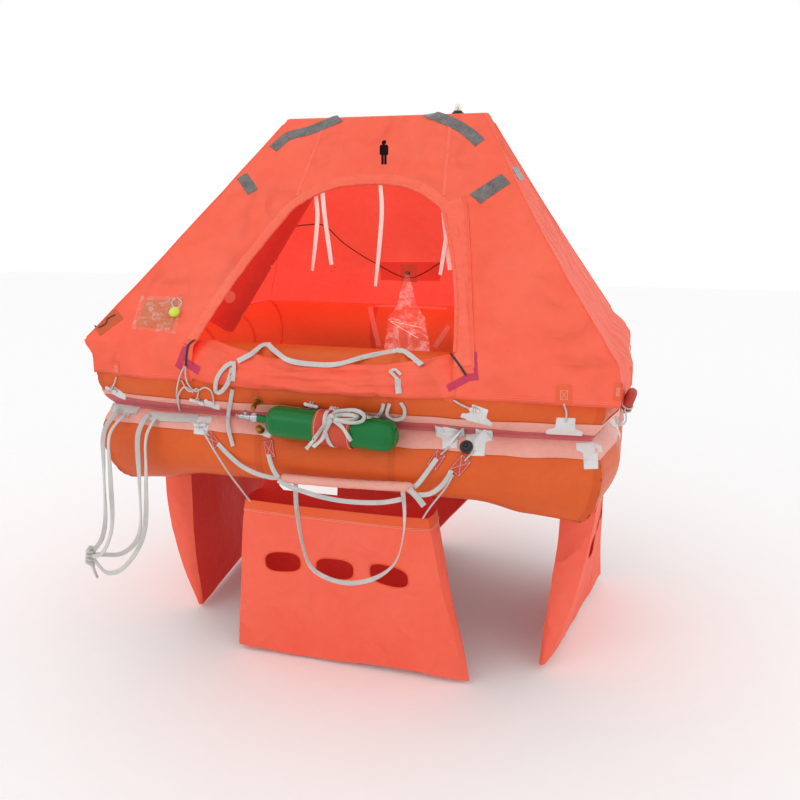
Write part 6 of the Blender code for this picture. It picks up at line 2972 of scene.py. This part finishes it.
@dataclass
class Roof:
    """The lamp on the ridge, the signal bulb on the front, and the rescue quoit."""

    lamp_x: float = 0.262
    quoit: Point = (0.9138, -0.585, 0.118)
    quoit_radius: float = 0.026
    quoit_round: float = 0.014
    quoit_tilt: float = 20.0
    bulb_pixel: Pixel = (176, 314)
    bulb_cords: tuple[tuple[Pixel, ...], ...] = (
        ((174, 308), (172, 303), (176, 299)), ((179, 309), (182, 303), (178, 298)))
    # runs along the axis, each with the radius there
    lamp_base: tuple[Flat, ...] = (
        (0, 0.0215), (0.0030, 0.0220), (0.0045, 0.0195), (0.0060, 0.0165), (0.0090, 0.0155),
        (0.0100, 0.0150))
    lamp_lens: tuple[Flat, ...] = (
        (0, 0.0118), (0.004, 0.0124), (0.012, 0.0122), (0.019, 0.0098), (0.0235, 0.0062),
        (0.0258, 0.001))
    lamp_bulb: tuple[Flat, ...] = ((0, 0.0030), (0.006, 0.0046), (0.012, 0.0042), (0.015, 0.001))
    bulb: tuple[Flat, ...] = (
        (0.0005, 0.009), (0.002, 0.014), (0.006, 0.0180), (0.012, 0.0195),
        (0.017, 0.0180), (0.021, 0.0140), (0.0235, 0.0070), (0.024, 0.001))

    def build_lamp(self) -> list[bpy.types.Object]:
        """The lamp's base and its clear lens with the bulb inside.

        Returns:
            The pieces.
        """
        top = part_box("roof_lamp_base")[0].z
        centre = Vector((self.lamp_x, 0, top))
        up = Vector((0, 0, 1))
        base = Shape()
        base.lathe(centre, up, self.lamp_base, 40)
        made = [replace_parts(base.piece("lamp_base", "black_plastic", BLACK, crease=35),
                            "roof_lamp_base")]
        lens = Shape()
        lens.lathe(centre + up * 0.0103, up, self.lamp_lens, 40)
        lens.lathe(centre + up * 0.0106, up, self.lamp_bulb, 20, 1)
        made.append(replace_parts(lens.piece("lamp_lens", "lens", LENS, BULB, crease=35),
                                "roof_lamp_lens"))
        return made

    def build_quoit(self) -> bpy.types.Object:
        """The rubber ring with the cord loops that hold it.

        Returns:
            The piece.
        """
        centre = Vector(self.quoit)
        tilt = math.radians(self.quoit_tilt)
        up = Vector((math.sin(tilt), 0, math.cos(tilt)))
        out = Vector((math.cos(tilt), 0, -math.sin(tilt)))
        shape = Shape()
        rings = []
        for angle in turns(56):
            spoke = Vector((0, 1, 0)) * math.cos(angle) + up * math.sin(angle)
            rings.append([centre + spoke * (self.quoit_radius + self.quoit_round * math.cos(a))
                          + out * self.quoit_round * math.sin(a)
                          for a in turns(24)])
        shape.rings(rings, loop=True)
        for offset in (-0.010, 0.004):
            wrap = []
            spoke = (Vector((0, -1, 0)) * 0.9 - up * 0.45).normalized()
            run = spoke.cross(out)
            middle = centre + spoke * self.quoit_radius + run * offset
            for k in range(17):
                a = 2 * math.pi * k / 16
                wrap.append(middle + spoke * math.cos(a) * (self.quoit_round + 0.002)
                            + out * math.sin(a) * (self.quoit_round + 0.002))
            shape.tube(wrap, 0.0022, 6, slot=1)
        low = centre - up * 0.040 + Vector((-0.004, -0.030, 0))
        for shift in (0.0, 0.008):
            hang = [low + Vector((shift + x, y, z)) for x, y, z in (
                (0.0, -0.004, 0.02), (0.006, -0.010, -0.012), (-0.008, -0.006, -0.030),
                (-0.016, 0.002, -0.006))]
            shape.tube(smooth_route(hang, 20), 0.0024, 6, slot=1)
        item = shape.piece("quoit_ring", "quoit_rubber", RUBBER, WEBBING)
        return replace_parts(item, "rescue_quoit")

    def build_bulb(self, cloth: Carrier) -> bpy.types.Object:
        """The bulb that lights on contact with water, on its cords.

        Args:
            cloth: The canopy's skin.

        Returns:
            The piece.
        """
        place, normal = cloth.at(self.bulb_pixel)
        shape = LaidShape()
        shape.lathe(place, normal, self.bulb, 36)
        for pixels in self.bulb_cords:
            line = [p + normal * 0.003 for p in shape.strap(cloth, pixels, 0.004, 0.002, slot=1)]
            shape.tube(line, 0.0016, 6, slot=1)
        item = shape.piece("signal_light", "lamp_yellow", BULB, WEBBING, crease=35)
        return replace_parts(item, "signal_bulb")

    def build(self, cloth: Carrier) -> list[bpy.types.Object]:
        """All of them."""
        return [*self.build_lamp(), self.build_quoit(), self.build_bulb(cloth)]


@dataclass
class Valves:
    """The two brass inflation valves, and the black relief valve with its ribbed cap."""

    inlet_x: float = -0.228
    # level, angle round the tube, lift off the skin, profile
    inlets: tuple[tuple[Level, float, float, tuple[Flat, ...]], ...] = (
        (Level.UPPER, -22.5, 0.0004,
         ((0, 0.0160), (0.0018, 0.0164), (0.0026, 0.0150), (0.0030, 0.0095),
                                      (0.010, 0.0090), (0.0104, 0.0062), (0.030, 0.0060),
                                      (0.0304, 0.0085),
                                      (0.040, 0.0088), (0.0430, 0.0080), (0.0445, 0.0040))),
        (Level.LOWER, VALVE_ANGLE, 0.0047, ((0, 0.0130), (0.0022, 0.0134), (0.0028, 0.0090),
                                            (0.012, 0.0082), (0.0125, 0.0108), (0.021, 0.0108),
                                            (0.0235, 0.0070))))
    relief_x: float = 0.452
    relief_lift: float = 0.0036
    relief: tuple[Flat, ...] = (
        (0, 0.0190), (0.0015, 0.0205), (0.0060, 0.0205), (0.0075, 0.0180), (0.0080, 0.0150),
        (0.0140, 0.0140), (0.0165, 0.0125), (0.0165, 0.0090), (0.0130, 0.0080),
        (0.0130, 0.0040), (0.0185, 0.0035), (0.0190, 0.0010))
    ribs: int = 12
    # run and radius of a rib's two ends
    rib: tuple[Flat, Flat] = ((0.009, 0.0148), (0.0145, 0.0142))
    rib_radius: float = 0.0012

    def out(self, degrees: float) -> Vector:
        """Way out of the front tube at an angle from outwards to up."""
        angle = math.radians(degrees)
        return Vector((0, -math.cos(angle), math.sin(angle)))

    def build_inlets(self) -> bpy.types.Object:
        """The two inflation valves with their flanges.

        Returns:
            The piece.
        """
        shape = Shape()
        for level, degrees, lift, profile in self.inlets:
            shape.lathe(skin(Side.FRONT, level, self.inlet_x, degrees, lift), self.out(degrees),
                        profile, 32)
        item = shape.piece("inflation_valves", "brass", BRASS, crease=35)
        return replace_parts(item, "inflation_valve_upper", "inflation_valve_lower")

    def build_relief(self) -> bpy.types.Object:
        """The relief valve with its ribbed rim.

        Returns:
            The piece.
        """
        out = self.out(VALVE_ANGLE)
        base = skin(Side.FRONT, Level.LOWER, self.relief_x, VALVE_ANGLE, self.relief_lift)
        shape = Shape()
        shape.lathe(base, out, self.relief, 48)
        sideways = Vector((1, 0, 0))
        for turn in turns(self.ribs):
            spoke = sideways * math.cos(turn) + out.cross(sideways) * math.sin(turn)
            shape.tube([base + spoke * radius + out * run for run, radius in self.rib],
                       self.rib_radius, 5)
        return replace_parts(shape.piece("relief_cap", "black_plastic", BLACK, crease=35),
                           "relief_valve")


@dataclass(frozen=True)
class Tie:
    """A tape or cord seen in the photograph: pixels, each with its lift off what lies behind it."""

    name: str
    points: tuple[tuple[float, float, float], ...]
    width: float
    flat: bool = True
    far_end: str = "object"
    lay: str = "loose"
    depth: float | None = None
    declared: bool = True

    def route(self, body: Carrier) -> list[Vector]:
        """The tie's middle line.

        Args:
            body: The skin that the tie lies on.

        Returns:
            Points down the tie's middle.
        """
        places = []
        for x, y, lift in self.points:
            if self.depth is None:
                place, normal = body.at((x, y))
                places.append(place + normal * (lift + 0.0012))
            else:
                places.append(VIEW.on_plane((x, y), self.depth - lift))
        return smooth_route(places, min(40, max(16, len(places) * 7)))

    def build(self, body: Carrier) -> bpy.types.Object:
        """Args:
            body: The skin that the tie lies on.

        Returns:
            The piece.
        """
        route = self.route(body)
        shape = LaidShape()
        if self.flat:
            ways = [TOWARD if self.depth is not None
                    else (body.near(p)[1] + TOWARD * 0.8).normalized()
                    for p in route]
            shape.flat(route, soften(ways, 8), self.width, 0.0018)
        else:
            shape.tube(route, self.width / 2, 8)
        item = shape.piece(self.name, "webbing", WEBBING)
        if not self.declared or route_length(route) < max(0.032, 6.3 * self.width):
            LOG.info("%s is too short for a cord", self.name)
            return item
        return (item, tuple(route[0]), round(route_length(route), 3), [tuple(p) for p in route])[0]


TIES = (
    Tie("hand_line_left",
        ((271, 345.5, 0.003), (262, 347, 0.004), (252, 355, 0.006), (238, 362, 0.004)), 0.018),
    Tie("hand_line_middle",
        ((268, 345.5, 0.003), (276, 353, 0.006), (290, 362, 0.005), (314, 366, 0.005),
                             (338, 366, 0.006), (366, 358, 0.005), (398, 351.5, 0.003)), 0.018),
    Tie("hand_line_right", ((396, 351.5, 0.003), (406, 354, 0.005), (422, 366, 0.004)), 0.018),
    Tie("left_bow_loop",
        ((233, 363, 0.003), (226, 366, 0.008), (219, 377, 0.010), (217, 390, 0.008),
                          (222, 391, 0.008), (229, 381, 0.010), (233, 368, 0.004)), 0.014),
    Tie("left_bow_tail", ((234, 362, 0.003), (235, 370, 0.008), (234, 380, 0.006)), 0.013),
    Tie("left_strap", ((233, 389, 0.003), (231, 402, 0.006), (229, 412, 0.010), (230, 430, 0.012),
                       (234, 446, 0.006)), 0.013),
    Tie("zip_tie_long", ((185, 366, 0.002), (181, 376, 0.006), (178, 392, 0.008), (181, 410, 0.006),
                         (180, 394, 0.012), (186, 386, 0.008), (194, 392, 0.004)), 0.0050, False),
    Tie("zip_tie_round",
        ((186, 366, 0.003), (188, 380, 0.008), (196, 390, 0.008), (206, 387, 0.006),
                          (213, 391, 0.008), (215, 404, 0.004)), 0.0050, False),
    Tie("zip_tie_short",
        ((182, 380, 0.003), (190, 390, 0.008), (199, 388, 0.006), (198, 398, 0.004)), 0.0045,
        False),
    Tie("right_strap", ((398, 379, 0.002), (398.5, 386, 0.004), (399, 393, 0.003)), 0.018,
        declared=False),
    Tie("right_loop_upper",
        ((399, 380, 0.003), (393, 376, 0.008), (391, 373, 0.010), (396, 372, 0.008),
                             (401, 376, 0.003)), 0.009),
    Tie("right_loop_left",
        ((384, 403, 0.003), (382, 410, 0.008), (376, 416, 0.006), (366, 417, 0.004)), 0.011),
    Tie("right_loop_right",
        ((390, 403, 0.003), (388, 412, 0.010), (396, 417, 0.010), (404, 415, 0.008),
                             (405, 408, 0.006), (401, 402, 0.003)), 0.011),
    Tie("tab_rope_left", ((117, 377, 0.002), (116, 382, 0.006), (114, 388, 0.012)), 0.005, False,
        declared=False),
    Tie("tab_rope_middle", ((454, 400, 0.003), (462, 404, 0.008), (471, 408, 0.006)), 0.006, False),
    Tie("tab_rope_right", ((564, 404, 0.002), (566, 411, 0.006), (566, 421, 0.004)), 0.006, False),
    Tie("end_rope_left", ((203, 430, 0.004), (207, 433, 0.006), (210, 436, 0.004)), 0.004, False,
        declared=False),
    Tie("end_rope_inner", ((450, 447, 0.004), (446, 451, 0.006), (441, 455, 0.004)), 0.005, False,
        declared=False),
    Tie("end_rope_outer", ((475, 451, 0.004), (470, 456, 0.006), (465, 461, 0.004)), 0.005, False,
        declared=False),
    Tie("bridle_flap", ((409, 489, 0.0), (417, 497, 0.002), (424, 506, 0.0)), 0.018, depth=-0.735),
    Tie("pocket_cord_left",
        ((203, 431, 0.012), (214, 450, 0.020), (228, 472, 0.004), (240, 488, -0.030),
                             (250, 501, -0.062)), 0.006, False, lay="hanging", depth=-0.705),
    Tie("pocket_cord_right",
        ((453, 475, 0.055), (444, 490, 0.052), (431, 506, 0.020), (423, 518, -0.016)), 0.006,
        False, lay="hanging", depth=-0.66),
)


@dataclass
class Cabin:
    """What shows through the door: wire, wall patches, tapes, straps and the rain bag."""

    wire: tuple[Pixel, ...] = ((291, 226), (308, 224), (325, 225), (345, 243), (375, 262),
                               (410, 277), (444, 260))
    wall_patch: tuple[Pixel, ...] = ((380, 262), (441, 262), (440, 281), (381, 280))
    pocket: tuple[Pixel, ...] = ((400, 264), (417, 264), (417, 282), (401, 281))
    grommet: Pixel = (408, 272)
    arch_spots: tuple[tuple[Pixel, float], ...] = (((230, 297), 0.042), ((252, 321), 0.032))
    arch_strap: tuple[Pixel, ...] = ((271, 266), (278, 270))
    straps: tuple[tuple[Pixel, ...], ...] = (
        ((370, 307), (374, 326), (379, 346)), ((449, 326), (441, 338), (435, 347)),
        ((376, 306), (414, 307), (447, 309)))
    # the rain bag: height, half width, thickness
    bag: tuple[Point, ...] = (
        (-0.030, 0.080, 0.004), (-0.020, 0.098, 0.018), (0.060, 0.106, 0.024),
        (0.200, 0.082, 0.014),
        (0.215, 0.066, 0.016), (0.250, 0.044, 0.018), (0.330, 0.024, 0.014), (0.365, 0.013, 0.010),
        (0.395, 0.006, 0.006))
    lip_left: float = -0.074
    # height at the left, X and height at the right
    lips: tuple[Point, ...] = ((0.176, 0.070, 0.152), (0.174, 0.054, 0.106))
    # pixel of a tape's start, and its length
    tapes: tuple[tuple[float, float, float], ...] = (
        (315, 198, 0.27), (322, 197, 0.25), (380, 189, 0.35), (443, 205, 0.23), (447, 207, 0.24))

    def build_walls(self, wall: Carrier, tubes: Carrier, arch: Carrier) -> list[bpy.types.Object]:
        """Patches, wire and straps on the wall, the tubes and the arch.

        Args:
            wall: The canopy's skin.
            tubes: The tubes' skin.
            arch: The arch's skin.

        Returns:
            The pieces.
        """
        patches = LaidShape()
        patches.quad(wall, self.wall_patch, 0.0016, 16, 6, ruffle=0.001)
        patches.quad(wall, self.pocket, 0.0050, 8, 6, slot=1, ruffle=0.001)
        spot = Spot.seen(wall, self.grommet)
        patches.patch(spot, oval(0.011, 0.011, 20), 0.0090, slot=2)
        made = [patches.piece("wall_patches", "canopy_fabric", CABIN_PATCH_GLOW, LAMP_POCKET_GLOW, BLACK)]
        wire = LaidShape()
        line = wire.strap(wall, self.wire, 0.003, 0.003, lift=0.004, count=60)
        wire.tube(line, 0.0022, 8)
        made.append(wire.piece("lamp_wire", "black_plastic", WIRE))
        spots = LaidShape()
        for pixel, size in self.arch_spots:
            spots.patch(Spot.seen(arch, pixel, -25), oval(size / 2, size * 0.62, 28), 0.0016)
        spots.strap(arch, self.arch_strap, 0.014, 0.002)
        made.append(spots.piece("arch_spots", "arch_fabric", ARCH_SPOT_GLOW))
        straps = LaidShape()
        for pixels in self.straps:
            straps.strap(tubes, pixels, 0.022, 0.0018, lift=0.0008, count=30)
        made.append(straps.piece("cabin_straps", "band_fabric", CABIN_STRAP_GLOW))
        return made

    def build_tapes(self, canopy: Carrier) -> list[bpy.types.Object]:
        """The door's ties, hanging from its top edge inside the canopy.

        Args:
            canopy: The canopy's skin.

        Returns:
            The pieces.
        """
        made = []
        for number, (x, y, length) in enumerate(self.tapes, 1):
            place, normal = canopy.at((x, y - 6))
            start = place - normal * 0.006
            lean = 0.024 * (-1) ** number
            route = smooth_route([start, *(start + Vector(step) for step in (
                (0.002, 0.008, -0.02 - length * 0.2), (lean * 0.4, 0.014, -length * 0.6),
                (lean, 0.010, -length)))], 30)
            shape = LaidShape()
            sway = Vector((0.25 * (-1) ** number, -1, 0.1)).normalized()
            shape.ribbon(route, lambda share, w=sway: w + Vector((0.4 * math.sin(4 * share), 0, 0)),
                         0.015, 0.0014)
            item = shape.piece(f"door_tie_{number}", "webbing", LIT_TAPE)
            made.append((item, tuple(route[0]), round(route_length(route), 3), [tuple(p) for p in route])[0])
        return made

    def build_bag(self) -> bpy.types.Object:
        """The clear crinkled rain bag that hangs at the back.

        Returns:
            The piece.
        """
        low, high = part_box("rain_bag")
        middle_x, middle_y = (low.x + high.x) / 2, (low.y + high.y) / 2
        rings = []
        low_end, top = self.bag[0][0], self.bag[-1][0]
        for i in range(61):
            z = top - (top - low_end) * i / 60
            half, thick = read_table(self.bag, z)
            ring = []
            for angle in turns(64):
                x, y = half * math.cos(angle), thick / 2 * math.sin(angle)
                crinkle = noise.noise(Vector((x * 42, y * 60, z * 26)))
                crinkle += 0.6 * noise.noise(Vector((x * 95, y * 60, z * 80)))
                ring.append(Vector((middle_x + x + 0.002 * crinkle,
                                    middle_y + y + 0.0042 * crinkle * math.sin(angle), z)))
            rings.append(ring)
        shape = Shape()
        shape.rings(rings)
        for left_z, right_x, right_z in self.lips:
            line = []
            for i in range(15):
                x = self.lip_left + (right_x - self.lip_left) * i / 14
                z = left_z + (right_z - left_z) * i / 14
                half, thick = read_table(self.bag, z)
                bulge = thick / 2 * math.sqrt(max(0.0, 1 - (x / half) ** 2))
                line.append(Vector((middle_x + x, middle_y - bulge - 0.003, z)))
            shape.tube(line, 0.0016, 6, slot=1)
        item = shape.piece("rain_bag_film", "clear_film", BAG_FILM_GLINTS, BAG_LIP_GLOW, crease=25)
        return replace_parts(item, "rain_bag")

    def build(self, canopy: bpy.types.Object, arch: bpy.types.Object,
              tubes: Sequence[bpy.types.Object]) -> list[bpy.types.Object]:
        """Everything in the cabin.

        Args:
            canopy: The canopy.
            arch: The arch.
            tubes: The tubes and their tapes.

        Returns:
            The pieces.
        """
        cloth = Carrier(canopy)
        return [*self.build_walls(cloth, Carrier(*tubes), Carrier(arch)), *self.build_tapes(cloth),
                self.build_bag()]


@dataclass
class Studio:
    """Pale floor and soft light."""

    floor_drop: float = 0.02
    floor_half: float = 14.0

    def build(self) -> None:
        """Make the floor, the sky and the lights."""
        shape = Shape()
        z = CAD_BOX[0].z - self.floor_drop
        half = self.floor_half
        shape.add([Vector((x, y, z)) for x,
                   y in ((-half, -half), (half, -half), (half, half), (-half, half))],
                  [(0, 1, 2, 3)])
        floor = shape.build("studio_floor", STUDIO)
        world = bpy.data.worlds.new("studio")
        bpy.context.scene.world = world
        world.use_nodes = True
        sky = world.node_tree.nodes["Background"]
        sky.inputs[0].default_value = (1.0, 1.0, 1.0, 1.0)
        sky.inputs[1].default_value = 1.0
        bpy.context.scene.view_settings.view_transform = "Standard"
        for name, place, size, power in (("key", (-2.6, -4.2, 3.4), 2.2, 16.0),
                                         ("fill", (3.6, -3.6, 1.6), 2.2, 6.0)):
            data = bpy.data.lights.new(name, "AREA")
            data.size = size
            data.energy = power
            item = bpy.data.objects.new(name, data)
            bpy.context.scene.collection.objects.link(item)
            item.location = place
            item.rotation_euler = (Vector((0, 0, 0.2))
                                   - Vector(place)).to_track_quat("-Z", "Y").to_euler()


def main() -> None:
    """Build the raft's looks in order and report each piece."""
    logging.basicConfig(level=logging.INFO, format="%(message)s")
    VIEW.build()
    Studio().build()
    strands = MooringStrands().build()
    tubes = BuoyancyTubes().build()
    bands = Bands().build()
    flap = DoorFlap().build()
    shape = Canopy()
    canopy = shape.build_sheet()
    arch = Arch().build()
    bottle = GasBottle().build()
    made = [*strands, *Ladder().build(), *tubes, *bands, flap, RaftFloor().build(), canopy, arch,
            *bottle]
    for pocket in POCKETS:
        made += pocket.build()
    made += TubeFittings().build(Carrier(*tubes, *bands), Carrier(*tubes, *bands, canopy))
    made += CanopyDress(shape).build(Carrier(canopy), Carrier(canopy, flap))
    valves = Valves()
    made += [valves.build_inlets(), valves.build_relief(), *Roof().build(Carrier(canopy)),
             *Cabin().build(canopy, arch, tubes)]
    body = Carrier(*tubes, *bands, canopy, flap, *bottle, rear=-0.30)
    made += [tie.build(body) for tie in TIES]
    for piece in made:
        LOG.info("made %s", piece.name)


if __name__ == "__main__":
    main()
